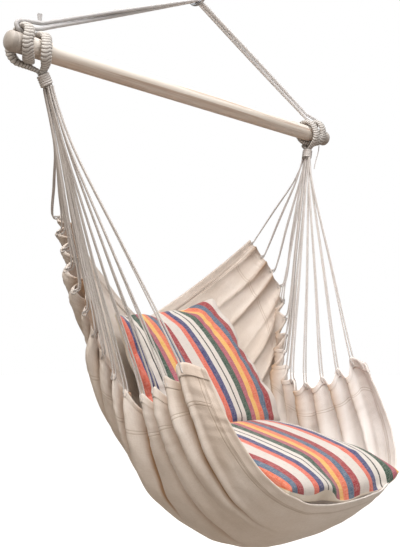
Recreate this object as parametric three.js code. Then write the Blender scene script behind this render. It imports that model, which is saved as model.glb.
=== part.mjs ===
// Hammock chair: a canvas sling on a wooden spreader bar, hung by a doubled rope from a steel ring.
// Millimetres, +Z up. The origin is the top of the ring's eye, where a ceiling hook holds it.
// X runs along the bar, and the sitter faces -Y. Below the ring, places are counted from the bar's axis.

import * as THREE from 'three';

// Ring
const ringInnerRadius = 25;
const ringWire = 8;

// Rope
const ropeThickness = 8.4;
const ropeStrandGap = 0.6;
const ropeRise = 232;
const ropeBendRadius = 9;
const ropeSeatLift = 1.2;
const hookSlack = 1;

// Bar
const barLength = 1000;
const barThickness = 38;
const barDome = 9;
const barNeckInset = 16;
const barNeckDepth = 0.6;
const barNeckWidth = 2.4;

// Served cord eyes, two turns at each end of the bar
const eyeThickness = 12;
const eyeWidth = 22;
const eyeSlack = 0.9;
const innerTurnSlack = 2.6;
const crossingSlack = 1;
const turnSpacing = 38;
const leftKnotInset = 49;
const rightKnotInset = 66;
const leftKnotX = leftKnotInset - barLength / 2;
const rightKnotX = barLength / 2 - rightKnotInset;
const topLeanShare = { left: 0.2, right: 0.15 };

// Neck under each eye, where the two legs are whipped together
const leftNeckTopShift = 30;
const leftNeckBottomShift = 44;
const rightNeckTopShift = 16;
const rightNeckBottomShift = 22;
const neckTopX = { left: leftKnotX + leftNeckTopShift, right: rightKnotX - rightNeckTopShift };
const neckBottomX = { left: leftKnotX + leftNeckBottomShift, right: rightKnotX - rightNeckBottomShift };
const neckTopDrop = 43;
const neckBottomDrop = 68.6;
const whippingDrop = 46.5;
const legThickness = 8;
const legWidth = 16;
const legParting = 1;
const twine = 3;
const twinePitch = 3.5;
const twineTurns = 6;
const tailThread = 2.6;
const tailStub = 13;
const tailFlareShare = 1.12;

// Cords between neck and canvas
const cordThickness = 3;
const cordsPerSide = 14;
const cordSpacing = 3.4;
const cordRowGap = 4.4;
const cordStartClearance = 2.4;
const cordEndClearance = 4.3;
const backMarginShare = 0.012;
const frontMarginShare = 0.075;
const cordRowShiftShare = 0.12;

// Canvas
const slingHalfWidth = 322;
const slingReach = 402;
const slingDrop = 950;
const canvasThickness = 3;
const foldDepth = 9;
const foldsPerSide = 5;
const foldStartShare = 0.3;
const foldFullShare = 0.7;
const foldCalmShare = 0.85;
const edgeCalmShare = 0.6;
const canvasRows = 24;
const canvasColumns = 24;

// Cushions
const cushionWidth = 350;
const cushionLength = 342;
const cushionFaceCrown = 56;
const cushionRearCrown = 34;
const cushionDrawIn = 22;
const crownPower = 0.4;
const coverWall = 1.6;
const seamAllowance = 8;
const fillingGap = 0.6;
const zipSlit = 5;
const cushionGrid = 12;
const slitMargin = 3;
const backCushionShift = 27;
const backSagTop = 50;
const backSagFoot = 20;
const seatSagTop = 10;
const seatSagFoot = 28;

// Where each cushion lies: its middle as shares of the sling's reach and drop, its lean and roll in degrees
// and its sags
const cushionPlaces = {
  back: {
    shift: backCushionShift,
    zipAtFoot: true,
    middleShares: [0.058, -0.65],
    lean: 66,
    roll: -11,
    sagTop: backSagTop,
    sagFoot: backSagFoot,
  },
  seat: {
    shift: 0,
    zipAtFoot: false,
    middleShares: [-0.545, -0.8115],
    lean: 10.5,
    roll: 2.5,
    sagTop: seatSagTop,
    sagFoot: seatSagFoot,
  },
};

const fit = 0.3;

// The gathered side edge of the canvas, right side, from the back corner to the front corner.
// Each row is a share of the sling's half width, of its reach in front of the bar and of its drop below it.
const sideEdgeShares = [
  [0.922, 0.246, -0.302], [0.994, 0.124, -0.385], [1, 0.05, -0.453], [0.941, 0.01, -0.518],
  [0.879, -0.017, -0.585], [0.817, -0.067, -0.636], [0.789, -0.119, -0.665], [0.773, -0.189, -0.68],
  [0.773, -0.259, -0.681], [0.786, -0.331, -0.672], [0.804, -0.448, -0.647], [0.832, -0.553, -0.617],
  [0.785, -0.665, -0.628],
];
// The canvas's middle line, from the back hem down to the seat and out to the front hem.
const middleLineShares = [
  [0, 0.46, -0.526], [0, 0.423, -0.6], [0, 0.323, -0.705], [0, 0.162, -0.821], [0, -0.037, -0.926],
  [0, -0.249, -0.993], [0, -0.485, -1], [0, -0.709, -0.974], [0, -0.883, -0.929], [0, -1, -0.882],
];

// The loose twine tail under the right outer turn, from its exit to its cut end.
const tailRoute = [
  [446.5, -16, -28], [445.5, -16.3, -36], [442, -16, -50], [437.5, -15.5, -62],
  [432.5, -15, -74], [428, -15, -86], [425, -15, -96],
];

const colours = {
  steel: { color: 0xb9bcc0, roughness: 0.3, metalness: 1 },
  rope: { color: 0xd9d7d4, roughness: 0.85, metalness: 0 },
  wood: { color: 0xd9c4a6, roughness: 0.55, metalness: 0 },
  cord: { color: 0xdcd3c7, roughness: 0.9, metalness: 0 },
  canvas: { color: 0xd8c9b4, roughness: 0.9, metalness: 0 },
  stripe: { color: 0xc4574a, roughness: 0.85, metalness: 0 },
  filling: { color: 0xf2f0ea, roughness: 0.95, metalness: 0 },
  zip: { color: 0xe6e0d4, roughness: 0.7, metalness: 0 },
};

const chair = new THREE.Group();
const belowRing = new THREE.Group();
const barDrop = 2 * ringInnerRadius - ropeThickness / 2 - fit + ropeRise;
belowRing.position.z = -barDrop;
chair.add(belowRing);

function addPiece(group, name, geometry, finish) {
  const mesh = new THREE.Mesh(geometry, new THREE.MeshStandardMaterial(finish));
  mesh.name = name;
  group.add(mesh);
  return mesh;
}

function vec(x, y, z) {
  return new THREE.Vector3(x, y, z);
}

// A closed body from a list of points and a list of faces with three or four corners.
function bodyFrom(points, faces) {
  const corners = [];
  for (const face of faces) {
    for (let k = 1; k + 1 < face.length; k++) {
      for (const index of [face[0], face[k], face[k + 1]]) {
        corners.push(points[index].x, points[index].y, points[index].z);
      }
    }
  }
  const geometry = new THREE.BufferGeometry();
  geometry.setAttribute('position', new THREE.Float32BufferAttribute(corners, 3));
  geometry.computeVertexNormals();
  return geometry;
}

// Rings of points joined into one skin, closed round or capped at both ends.
function skinOver(rings, closed) {
  const sides = rings[0].length;
  const points = rings.flat();
  const faces = [];
  const spans = closed ? rings.length : rings.length - 1;
  for (let i = 0; i < spans; i++) {
    const next = (i + 1) % rings.length;
    for (let k = 0; k < sides; k++) {
      const other = (k + 1) % sides;
      faces.push([i * sides + k, i * sides + other, next * sides + other, next * sides + k]);
    }
  }
  if (!closed) {
    const first = [...Array(sides).keys()];
    faces.push([...first].reverse());
    faces.push(first.map((k) => (rings.length - 1) * sides + k));
  }
  return bodyFrom(points, faces);
}

// A section swept along points. The section's width stays as near to the side vector as it can.
function sweep(points, section, side, closed) {
  const rings = points.map((point, i) => {
    const last = points.length - 1;
    const before = points[i > 0 ? i - 1 : closed ? last : 0];
    const after = points[i < last ? i + 1 : closed ? 0 : last];
    const along = after.clone().sub(before).normalize();
    const across = side(i).clone();
    across.addScaledVector(along, -across.dot(along)).normalize();
    const up = along.clone().cross(across);
    return section(i).map(([a, b]) => point.clone().addScaledVector(across, a).addScaledVector(up, b));
  });
  return skinOver(rings, closed);
}

function ellipse(width, height, sides) {
  return [...Array(sides).keys()].map((k) => {
    const angle = (2 * Math.PI * (k + 0.5)) / sides;
    return [(width / 2) * Math.cos(angle), (height / 2) * Math.sin(angle)];
  });
}

function smooth(value) {
  const share = Math.min(1, Math.max(0, value));
  return share * share * (3 - 2 * share);
}

// Steel ring: it stands across the bar, so that the rope rides over its lowest point.
function makeRing() {
  const sides = 10;
  const steps = 36;
  const ring = new THREE.TorusGeometry(ringInnerRadius + ringWire / 2, ringWire / 2, sides, steps);
  const mesh = addPiece(chair, 'hanging_ring', ring, colours.steel);
  mesh.rotation.y = Math.PI / 2;
  mesh.position.z = -ringInnerRadius;
}

// Spreader bar: a turned pole with domed ends and a shallow neck near each end.
function makeBar() {
  const radius = barThickness / 2;
  const half = barLength / 2;
  const outline = [];
  const domeSteps = 5;
  for (let k = 0; k <= domeSteps; k++) {
    const angle = (k / domeSteps) * (Math.PI / 2);
    outline.push([radius * Math.sin(angle), barDome * (1 - Math.cos(angle))]);
  }
  outline.push([radius, barNeckInset - barNeckWidth]);
  outline.push([radius - barNeckDepth, barNeckInset]);
  outline.push([radius, barNeckInset + barNeckWidth]);
  const profile = outline.map(([r, y]) => new THREE.Vector2(r, y - half));
  const mirrored = outline.map(([r, y]) => new THREE.Vector2(r, half - y)).reverse();
  const segments = 32;
  const bar = new THREE.LatheGeometry([...profile, ...mirrored], segments);
  const mesh = addPiece(belowRing, 'spreader_bar', bar, colours.wood);
  mesh.rotation.z = -Math.PI / 2;
}

// Places of one end of the bar. The sign is -1 on the left and 1 on the right.
function endPlaces(sideName) {
  const sign = sideName === 'left' ? -1 : 1;
  const knotX = sideName === 'left' ? leftKnotX : rightKnotX;
  const lean = sign * turnSpacing * topLeanShare[sideName];
  const outerX = knotX + (sign * turnSpacing) / 2;
  const innerX = knotX - (sign * turnSpacing) / 2;
  return {
    sign,
    lean,
    outerX,
    innerX,
    outerTopX: outerX - lean,
    innerTopX: innerX - lean,
    topX: neckTopX[sideName],
    bottomX: neckBottomX[sideName],
  };
}

// Served eye: the cord bundle leaves the neck behind the bar, takes two turns and comes back in front.
// A row of the route is the angle round the bar in degrees, the radius and the share from outer to inner.
// The outer turn is lifted over the rope that passes between it and the bar, with room for the sling's tilt.
// Both turns lean inwards over the top of the bar.
function makeEye(sideName) {
  const { outerX, innerX, topX, bottomX, lean } = endPlaces(sideName);
  const radius = barThickness / 2 + eyeThickness / 2 + eyeSlack;
  const lifted = radius + ropeThickness + fit;
  const innerRadius = radius + innerTurnSlack;
  const under = radius + eyeThickness + fit;
  const neckShare = (topX - outerX) / (innerX - outerX);
  const farLegShare = 0.75;
  const nearLegShare = 0.18;
  const route = [
    [25, under - crossingSlack, neckShare * farLegShare],
    [48, under - 2 * crossingSlack, neckShare * nearLegShare],
    [74, (under + radius) / 2 + fit, 0], [100, radius + crossingSlack, 0],
    [124, (radius + lifted) / 2, 0], [150, lifted, 0], [180, lifted, 0], [210, lifted, 0],
    [236, (radius + lifted) / 2, 0], [264, radius, 0], [300, radius, 0.08], [330, radius, 0.26],
    [360, radius, 0.5], [390, radius, 0.74], [420, radius, 0.92], [460, innerRadius, 1],
    [500, innerRadius, 1], [540, innerRadius, 1], [580, innerRadius, 1], [615, innerRadius, 1],
    [646, (under + radius) / 2 + fit, 1],
    [672, under - 2 * crossingSlack, 1 - (1 - neckShare) * nearLegShare],
    [695, under - crossingSlack, 1 - (1 - neckShare) * farLegShare],
  ];
  const legY = legThickness / 2 + legParting;
  const turns = route.map(([degrees, r, share]) => {
    const angle = THREE.MathUtils.degToRad(degrees);
    const inward = lean * Math.max(0, -Math.cos(angle));
    return vec(outerX + share * (innerX - outerX) - inward, r * Math.sin(angle), -r * Math.cos(angle));
  });
  const midX = (topX + bottomX) / 2;
  const midDrop = (neckTopDrop + neckBottomDrop) / 2;
  const legs = [
    [bottomX, legY, neckBottomDrop], [midX, legY, midDrop], [topX, legY, neckTopDrop],
  ];
  const route3 = [
    ...legs.map(([x, y, drop]) => vec(x, y, -drop)),
    ...turns,
    ...legs.map(([x, y, drop]) => vec(x, -y, -drop)).reverse(),
  ];
  const curve = new THREE.CatmullRomCurve3(route3, false, 'centripetal');
  const steps = 72;
  const sides = 10;
  const points = [...Array(steps + 1).keys()].map((i) => curve.getPoint(i / steps));
  const section = (i) => {
    const fromEnd = Math.min(i, steps - i) / steps;
    const legEnd = legs.length / (route3.length - 1);
    const share = smooth((fromEnd - legEnd) / legEnd);
    const width = legWidth + share * (eyeWidth - legWidth);
    const height = legThickness + share * (eyeThickness - legThickness);
    return ellipse(width, height, sides);
  };
  const eye = sweep(points, section, () => vec(1, 0, 0), false);
  addPiece(belowRing, sideName + '_cord_eye', eye, colours.cord);
}

// Whipping: one unbroken twine wound round both legs.
function makeWhipping(sideName) {
  const { topX, bottomX } = endPlaces(sideName);
  const neckTop = vec(topX, 0, -neckTopDrop);
  const neckBottom = vec(bottomX, 0, -neckBottomDrop);
  const axis = neckBottom.clone().sub(neckTop).normalize();
  const top = neckTop.clone().addScaledVector(axis, whippingDrop - neckTopDrop);
  const across = vec(0, 1, 0);
  const third = axis.clone().cross(across);
  const legReach = Math.hypot(legWidth / 2, legThickness / 2 + legParting);
  const radius = legReach + twine / 2 + 2 * fit;
  const stepsPerTurn = 24;
  const sides = 6;
  const steps = twineTurns * stepsPerTurn;
  const points = [];
  for (let i = 0; i <= steps; i++) {
    const angle = (2 * Math.PI * i) / stepsPerTurn;
    const point = top.clone().addScaledVector(axis, (twinePitch * i) / stepsPerTurn);
    point.addScaledVector(across, radius * Math.cos(angle));
    point.addScaledVector(third, radius * Math.sin(angle));
    points.push(point);
  }
  const straightStart = points[0].clone().sub(points[1]).setLength(twine).add(points[0]);
  const straightEnd = points[steps].clone().sub(points[steps - 1]).setLength(twine).add(points[steps]);
  const route = [straightStart, ...points, straightEnd];
  const winding = sweep(route, () => ellipse(twine, twine, sides), () => axis, false);
  addPiece(belowRing, sideName + '_neck_whipping', winding, colours.cord);
  let least = Infinity;
  for (let i = 0; i < points.length; i++) {
    for (let j = i + stepsPerTurn / 2; j < points.length; j++) {
      least = Math.min(least, points[i].distanceTo(points[j]) - twine);
    }
  }
  console.log(sideName + ' neck whipping: least gap to itself ' + least.toFixed(2) + ' mm');
}

// Points round a bend between two straight stretches, as an arc of the given radius.
function bend(before, corner, after, radius, steps) {
  const inward = before.clone().sub(corner).normalize();
  const outward = after.clone().sub(corner).normalize();
  const half = inward.angleTo(outward) / 2;
  const reach = radius / Math.tan(half);
  const start = corner.clone().addScaledVector(inward, reach);
  const middle = inward.clone().add(outward).normalize();
  const centre = corner.clone().addScaledVector(middle, radius / Math.sin(half));
  const toStart = start.clone().sub(centre);
  const toEnd = corner.clone().addScaledVector(outward, reach).sub(centre);
  const turnAxis = toStart.clone().cross(toEnd).normalize();
  const turn = Math.PI - 2 * half;
  return [...Array(steps + 1).keys()].map((k) => {
    return toStart.clone().applyAxisAngle(turnAxis, (turn * k) / steps).add(centre);
  });
}

// Hanging rope: one endless loop. It goes over the ring twice and hooks round the outer turn of each eye.
function makeRope() {
  const strand = (ropeThickness + ropeStrandGap) / 2;
  const apex = vec(0, 0, ropeRise + ropeSeatLift);
  const underZ = barThickness / 2 + 2 * fit + ropeThickness / 2;
  const outerTop = barThickness / 2 + eyeSlack + ropeThickness + fit + eyeThickness;
  const overZ = outerTop + ropeThickness / 2 + 2 * fit;
  const innerTop = barThickness / 2 + eyeSlack + innerTurnSlack + eyeThickness;
  const returnZ = innerTop + ropeThickness / 2 + 2 * fit;
  const reach = eyeWidth / 2 + ropeThickness / 2 + hookSlack;
  const legStationShares = [0.06, 0.25, 0.5, 0.75, 0.96];
  const lead = { upper: 0.75, lower: 0.2 };

  // One end: the upper strand goes out over both turns, round the outer one and back under it.
  const hook = (sideName) => {
    const { sign, outerTopX, innerTopX } = endPlaces(sideName);
    const heights = { over: overZ, middle: (overZ + underZ) / 2, under: underZ, back: returnZ };
    // A row is the share from the outer to the inner turn, the share of the reach outwards, the level it
    // starts from and the share of the rope's thickness above that level.
    const hookShares = [
      [1, 0, 'over', lead.upper], [0.5, 0, 'over', 0.42], [0, 0, 'over', 0.05], [0, 0.75, 'over', -0.45],
      [0, 1, 'middle', 0], [0, 0.75, 'under', 0.4], [0, 0, 'under', 0], [0, -0.8, 'under', 0.4],
      [0, -1.06, 'middle', -0.1], [1, 0, 'back', lead.lower],
    ];
    return hookShares.map(([inward, outward, level, lift]) => {
      const x = outerTopX + inward * (innerTopX - outerTopX) + sign * outward * reach;
      return vec(x, 0, heights[level] + lift * ropeThickness);
    });
  };

  // The pair twists a quarter turn between the knot, where one strand lies on the other, and the ring.
  const leg = (sideName, role) => {
    const { sign, innerTopX } = endPlaces(sideName);
    const foot = vec(innerTopX, 0, (overZ + returnZ + (lead.upper + lead.lower) * ropeThickness) / 2);
    const line = apex.clone().sub(foot);
    const lift = line.clone().normalize().cross(vec(0, -sign, 0));
    return legStationShares.map((share) => {
      const angle = share * (Math.PI / 2);
      const point = foot.clone().addScaledVector(line, share);
      point.addScaledVector(lift, role * strand * Math.cos(angle));
      point.addScaledVector(vec(0, -1, 0), role * strand * Math.sin(angle));
      return point;
    });
  };

  const bendSteps = 6;
  const overRing = (from, to) => {
    const top = apex.clone().setY((from.y + to.y) / 2);
    return bend(from, top, to, ropeBendRadius, bendSteps);
  };
  const hookSteps = 22;
  const smoothed = (list) => {
    const curve = new THREE.CatmullRomCurve3(list, false, 'centripetal');
    return [...Array(hookSteps + 1).keys()].map((k) => curve.getPoint(k / hookSteps));
  };
  const leftFront = leg('left', 1);
  const rightFront = leg('right', 1);
  const leftBack = leg('left', -1);
  const rightBack = leg('right', -1);
  const route = [
    ...leftFront,
    ...overRing(leftFront.at(-1), rightFront.at(-1)),
    ...rightFront.reverse(),
    ...smoothed(hook('right')),
    ...rightBack,
    ...overRing(rightBack.at(-1), leftBack.at(-1)),
    ...leftBack.reverse(),
    ...smoothed(hook('left')).reverse(),
  ];
  const sides = 10;
  const rope = sweep(route, () => ellipse(ropeThickness, ropeThickness, sides), () => vec(0, 1, 0), true);
  addPiece(belowRing, 'hanging_rope', rope, colours.rope);
}

// Canvas surface: along is 0 at the back hem and 1 at the front hem, across runs from -1 to 1.
function slingCurve(shares) {
  return new THREE.CatmullRomCurve3(shares.map(([x, y, z]) => {
    return vec(x * slingHalfWidth, y * slingReach, z * slingDrop);
  }));
}

const edgeCurve = slingCurve(sideEdgeShares);
const middleCurve = slingCurve(middleLineShares);
const stationShares = [0, 0.25, 0.5, 0.8, 1];
const sideSquarenessShares = [1.15, 1.35, 2.1, 2.7, 3];
const floorSquarenessShares = [1.05, 1.2, 1.8, 2.4, 2.8];

function between(value, list) {
  let k = 0;
  while (k < stationShares.length - 2 && value > stationShares[k + 1]) {
    k += 1;
  }
  const share = (value - stationShares[k]) / (stationShares[k + 1] - stationShares[k]);
  return list[k] + share * (list[k + 1] - list[k]);
}

function bareCanvas(along, across) {
  const edge = edgeCurve.getPointAt(along);
  const middle = middleCurve.getPointAt(along);
  const angle = (across * Math.PI) / 2;
  const spread = Math.sign(angle) * Math.abs(Math.sin(angle)) ** (2 / between(along, sideSquarenessShares));
  const depth = Math.abs(Math.cos(angle)) ** (2 / between(along, floorSquarenessShares));
  return vec(
    edge.x * spread,
    edge.y + (middle.y - edge.y) * depth,
    edge.z + (middle.z - edge.z) * depth,
  );
}

function canvasNormal(along, across) {
  const step = 1 / 100;
  const a = bareCanvas(Math.min(1, along + step), across).sub(bareCanvas(Math.max(0, along - step), across));
  const b = bareCanvas(along, Math.min(1, across + step)).sub(bareCanvas(along, Math.max(-1, across - step)));
  return b.cross(a).normalize();
}

// Main folds run from the gathered side edges towards the seat and die out there.
function canvasPoint(along, across, offset) {
  const side = Math.abs(across);
  const rise = smooth((side - foldStartShare) / (foldFullShare - foldStartShare));
  const gather = rise * (1 - edgeCalmShare * smooth((side - foldCalmShare) / (1 - foldCalmShare)));
  const wave = Math.cos(2 * Math.PI * foldsPerSide * along - 1);
  const lift = foldDepth * gather * wave * Math.sin(Math.PI * Math.min(1, Math.max(0, along)));
  return bareCanvas(along, across).addScaledVector(canvasNormal(along, across), lift + offset);
}

function makeSling() {
  const points = [];
  const half = canvasThickness / 2;
  for (const offset of [half, -half]) {
    for (let i = 0; i <= canvasRows; i++) {
      for (let j = 0; j <= canvasColumns; j++) {
        points.push(canvasPoint(i / canvasRows, (2 * j) / canvasColumns - 1, offset));
      }
    }
  }
  const row = canvasColumns + 1;
  const layer = row * (canvasRows + 1);
  const faces = [];
  for (let i = 0; i < canvasRows; i++) {
    for (let j = 0; j < canvasColumns; j++) {
      const a = i * row + j;
      faces.push([a, a + 1, a + row + 1, a + row]);
      faces.push([layer + a, layer + a + row, layer + a + row + 1, layer + a + 1]);
    }
  }
  for (let j = 0; j < canvasColumns; j++) {
    const b = canvasRows * row + j;
    faces.push([j, layer + j, layer + j + 1, j + 1]);
    faces.push([b, b + 1, layer + b + 1, layer + b]);
  }
  for (let i = 0; i < canvasRows; i++) {
    const a = i * row;
    const b = a + canvasColumns;
    faces.push([a, a + row, layer + a + row, layer + a]);
    faces.push([b, layer + b, layer + b + row, b + row]);
  }
  addPiece(belowRing, 'canvas_sling', bodyFrom(points, faces), colours.canvas);
}

// Cords: two rows leave the neck, from back to front, and each cord runs straight to the gathered edge.
function makeCords(sideName) {
  const { sign, bottomX } = endPlaces(sideName);
  const neckZ = -(neckBottomDrop + cordStartClearance);
  for (let k = 0; k < cordsPerSide; k++) {
    const span = 1 - backMarginShare - frontMarginShare;
    const place = backMarginShare + (k / (cordsPerSide - 1)) * span;
    const edge = canvasPoint(place, sign, 0);
    const inwardShare = 0.97;
    const outward = edge.clone().sub(canvasPoint(place, inwardShare * sign, 0)).normalize();
    const end = edge.addScaledVector(outward, cordEndClearance);
    const columns = cordsPerSide / 2;
    const column = Math.floor(k / 2) - (columns - 1) / 2;
    const rowSide = k % 2 === 0 ? 1 : -1;
    const startX = bottomX + (sign * rowSide * cordRowGap) / 2;
    const start = vec(startX, (rowSide * cordRowShiftShare - column) * cordSpacing, neckZ);
    const line = end.clone().sub(start);
    const length = line.length();
    line.normalize();
    const sides = 8;
    const cord = new THREE.CylinderGeometry(cordThickness / 2, cordThickness / 2, length, sides);
    const number = String(k + 1).padStart(2, '0');
    const mesh = addPiece(belowRing, sideName + '_cord_' + number, cord, colours.cord);
    mesh.quaternion.setFromUnitVectors(vec(0, 1, 0), line);
    mesh.position.copy(start).addScaledVector(line, length / 2);
  }
}

// A cushion's frame: its length runs up its lean, and its face looks at the sitter.
function cushionMap(place) {
  const [reachShare, dropShare] = place.middleShares;
  const middle = vec(place.shift, reachShare * slingReach, dropShare * slingDrop);
  const lean = THREE.MathUtils.degToRad(place.lean);
  const roll = THREE.MathUtils.degToRad(place.roll);
  const up = vec(0, Math.cos(lean), Math.sin(lean));
  const face = vec(1, 0, 0).cross(up);
  return (x, length, height) => {
    const across = x * Math.cos(roll) + length * Math.sin(roll);
    const along = length * Math.cos(roll) - x * Math.sin(roll);
    const shareX = across / (cushionWidth / 2);
    const shareUp = along / cushionLength + 1 / 2;
    const sag = (place.sagFoot + (place.sagTop - place.sagFoot) * shareUp) * (1 - shareX * shareX);
    const point = middle.clone().addScaledVector(up, along).addScaledVector(face, height - sag);
    point.x += across;
    return point;
  };
}

// A pad's face and rear on one grid. The edge inset draws the outline in, and the inset thins the pad.
function padOutline(edgeInset, inset, slitRow) {
  const halfWidth = cushionWidth / 2 - edgeInset;
  const halfLength = cushionLength / 2 - edgeInset;
  const drawWidth = cushionDrawIn / (cushionWidth / 2);
  const drawLength = cushionDrawIn / (cushionLength / 2);
  const share = (k) => Math.sin(((k / cushionGrid) * 2 - 1) * (Math.PI / 2));
  return (i, j, side) => {
    const u = share(i);
    const v = share(j);
    const x = halfWidth * u * (1 - drawWidth * (1 - v * v));
    const y = halfLength * v * (1 - drawLength * (1 - u * u));
    const crown = ((1 - u * u) * (1 - v * v)) ** crownPower;
    const height = ((side > 0 ? cushionFaceCrown : cushionRearCrown) - inset) * crown;
    const lip = j === slitRow && inSlit(i) ? zipSlit / 2 : 0;
    return [x, y, side * Math.max(height, lip)];
  };
}

function inSlit(i) {
  return i > slitMargin && i < cushionGrid - slitMargin;
}

// One point for each place on the pad. The face and the rear share their seam, but not the slit's lips.
function padCorners(points, outline, map, slitRow) {
  const table = new Map();
  return (i, j, side) => {
    const seam = i === 0 || j === 0 || i === cushionGrid || j === cushionGrid;
    const split = !seam || (j === slitRow && inSlit(i));
    const key = [i, j, split ? side : 0].join();
    if (!table.has(key)) {
      const [x, y, height] = outline(i, j, side);
      table.set(key, points.length);
      points.push(map(x, y, split ? height : 0));
    }
    return table.get(key);
  };
}

function padSkin(cornerOf, outward) {
  const faces = [];
  for (let i = 0; i < cushionGrid; i++) {
    for (let j = 0; j < cushionGrid; j++) {
      for (const side of [1, -1]) {
        const a = cornerOf(i, j, side);
        const b = cornerOf(i + 1, j, side);
        const c = cornerOf(i + 1, j + 1, side);
        const d = cornerOf(i, j + 1, side);
        faces.push(side * outward > 0 ? [a, b, c, d] : [a, d, c, b]);
      }
    }
  }
  return faces;
}

// A cushion is a sewn cover with a zip in one edge, round a filled pad.
function makeCushion(name, place) {
  const map = cushionMap(place);
  const slitRow = place.zipAtFoot ? 0 : cushionGrid;
  const outline = padOutline(0, 0, slitRow);
  const lining = padOutline(seamAllowance, coverWall, slitRow);
  const points = [];
  const outer = padCorners(points, outline, map, slitRow);
  const inner = padCorners(points, lining, map, slitRow);
  const faces = [...padSkin(outer, 1), ...padSkin(inner, -1)];
  for (let i = slitMargin; i < cushionGrid - slitMargin; i++) {
    for (const side of [1, -1]) {
      const lip = [i, i + 1].map((k) => outer(k, slitRow, side));
      lip.push(...[i + 1, i].map((k) => inner(k, slitRow, side)));
      faces.push(side > 0 === place.zipAtFoot ? lip.reverse() : lip);
    }
  }
  addPiece(belowRing, name + '_cushion_cover', bodyFrom(points, faces), colours.stripe);

  const zipHalf = zipSlit / 2 - fit;
  const rings = [];
  for (let i = slitMargin + 1; i < cushionGrid - slitMargin; i++) {
    const [outerX, outerY] = outline(i, slitRow, 1);
    const [innerX, innerY] = lining(i, slitRow, 1);
    const ring = [map(outerX, outerY, zipHalf), map(outerX, outerY, -zipHalf)];
    ring.push(map(innerX, innerY, -zipHalf), map(innerX, innerY, zipHalf));
    rings.push(place.zipAtFoot ? ring : ring.reverse());
  }
  addPiece(belowRing, name + '_cushion_zip', skinOver(rings, false), colours.zip);

  const fillPoints = [];
  const fillOutline = padOutline(seamAllowance + fillingGap, coverWall + fillingGap, null);
  const fillCorners = padCorners(fillPoints, fillOutline, map, null);
  const filling = bodyFrom(fillPoints, padSkin(fillCorners, 1));
  addPiece(belowRing, name + '_cushion_filling', filling, colours.filling);
}

// Cut end of the rope, standing up from the knot over the left inner turn.
function makeRopeEnd() {
  const sides = 10;
  const rope = ropeThickness / 2;
  const stub = new THREE.CylinderGeometry(rope * tailFlareShare, rope, tailStub, sides);
  const { innerTopX } = endPlaces('left');
  const outerTop = barThickness / 2 + eyeSlack + ropeThickness + fit + eyeThickness;
  const strandTopShare = 1.75;
  const strandTop = outerTop + 2 * fit + ropeThickness * strandTopShare;
  const inwardShare = 0.4;
  const mesh = addPiece(belowRing, 'rope_cut_end', stub, colours.rope);
  mesh.rotation.x = Math.PI / 2;
  mesh.position.set(innerTopX - ropeThickness * inwardShare, 0, strandTop + 3 * fit + tailStub / 2);
}

// Loose tail of the right whipping twine, hanging from the outer turn.
function makeTailThread() {
  const curve = new THREE.CatmullRomCurve3(tailRoute.map((p) => vec(...p)));
  const sides = 8;
  const steps = 12;
  const section = new THREE.Shape(
    ellipse(tailThread, tailThread, sides).map(([x, y]) => new THREE.Vector2(x, y)),
  );
  const thread = new THREE.ExtrudeGeometry(section, { steps, extrudePath: curve, bevelEnabled: false });
  addPiece(belowRing, 'right_tail_thread', thread, colours.cord);
}

makeRing();
makeBar();
makeRope();
makeRopeEnd();
makeTailThread();
for (const sideName of ['left', 'right']) {
  makeEye(sideName);
  makeWhipping(sideName);
  makeCords(sideName);
}
makeSling();
makeCushion('back', cushionPlaces.back);
makeCushion('seat', cushionPlaces.seat);

export default chair;
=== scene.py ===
import math

import bmesh
import bpy
import numpy as np
from mathutils import Matrix, Vector


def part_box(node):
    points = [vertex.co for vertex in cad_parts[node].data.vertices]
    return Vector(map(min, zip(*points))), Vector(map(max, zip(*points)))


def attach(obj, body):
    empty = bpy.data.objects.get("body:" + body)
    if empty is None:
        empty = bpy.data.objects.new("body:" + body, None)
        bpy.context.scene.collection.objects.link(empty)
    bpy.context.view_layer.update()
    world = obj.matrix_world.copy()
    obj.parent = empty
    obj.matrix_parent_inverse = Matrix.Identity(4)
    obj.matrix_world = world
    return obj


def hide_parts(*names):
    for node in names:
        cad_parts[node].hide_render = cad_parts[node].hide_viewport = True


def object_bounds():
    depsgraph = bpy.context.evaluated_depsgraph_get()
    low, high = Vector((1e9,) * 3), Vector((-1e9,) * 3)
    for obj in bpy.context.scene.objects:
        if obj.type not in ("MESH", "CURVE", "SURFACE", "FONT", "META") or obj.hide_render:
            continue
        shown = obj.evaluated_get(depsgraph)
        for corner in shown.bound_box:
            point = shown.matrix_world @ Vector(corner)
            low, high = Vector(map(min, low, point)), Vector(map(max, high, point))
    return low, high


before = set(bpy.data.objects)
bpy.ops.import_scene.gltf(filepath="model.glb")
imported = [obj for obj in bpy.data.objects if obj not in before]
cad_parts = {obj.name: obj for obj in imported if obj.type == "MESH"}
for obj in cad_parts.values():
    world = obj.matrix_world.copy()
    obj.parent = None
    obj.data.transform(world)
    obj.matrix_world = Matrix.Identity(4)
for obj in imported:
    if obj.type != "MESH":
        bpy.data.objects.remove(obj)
cad_low, cad_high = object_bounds()
MM = 0.001

# Places taken from the frame
bar_low, bar_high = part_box("spreader_bar")
BAR_Z = (bar_low.z + bar_high.z) / 2
BAR_HALF = (bar_high.x - bar_low.x) / 2
BAR_RADIUS = (bar_high.z - bar_low.z) / 2

# Rope and ring
RING_INNER = 25 * MM
RING_WIRE = 8 * MM
ROPE = 8.4 * MM
ROPE_STRAND_GAP = 0.6 * MM
ROPE_RISE = 233.2 * MM
ROPE_BEND = 9 * MM
ROPE_LAY = 64 * MM
YARNS = 9
YARN_RADIUS = 0.16 * ROPE
YARN_LAY = 9 * MM
WELD_RADIUS = 0.56 * RING_WIRE
WELD_FLATNESS = 0.42

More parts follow.
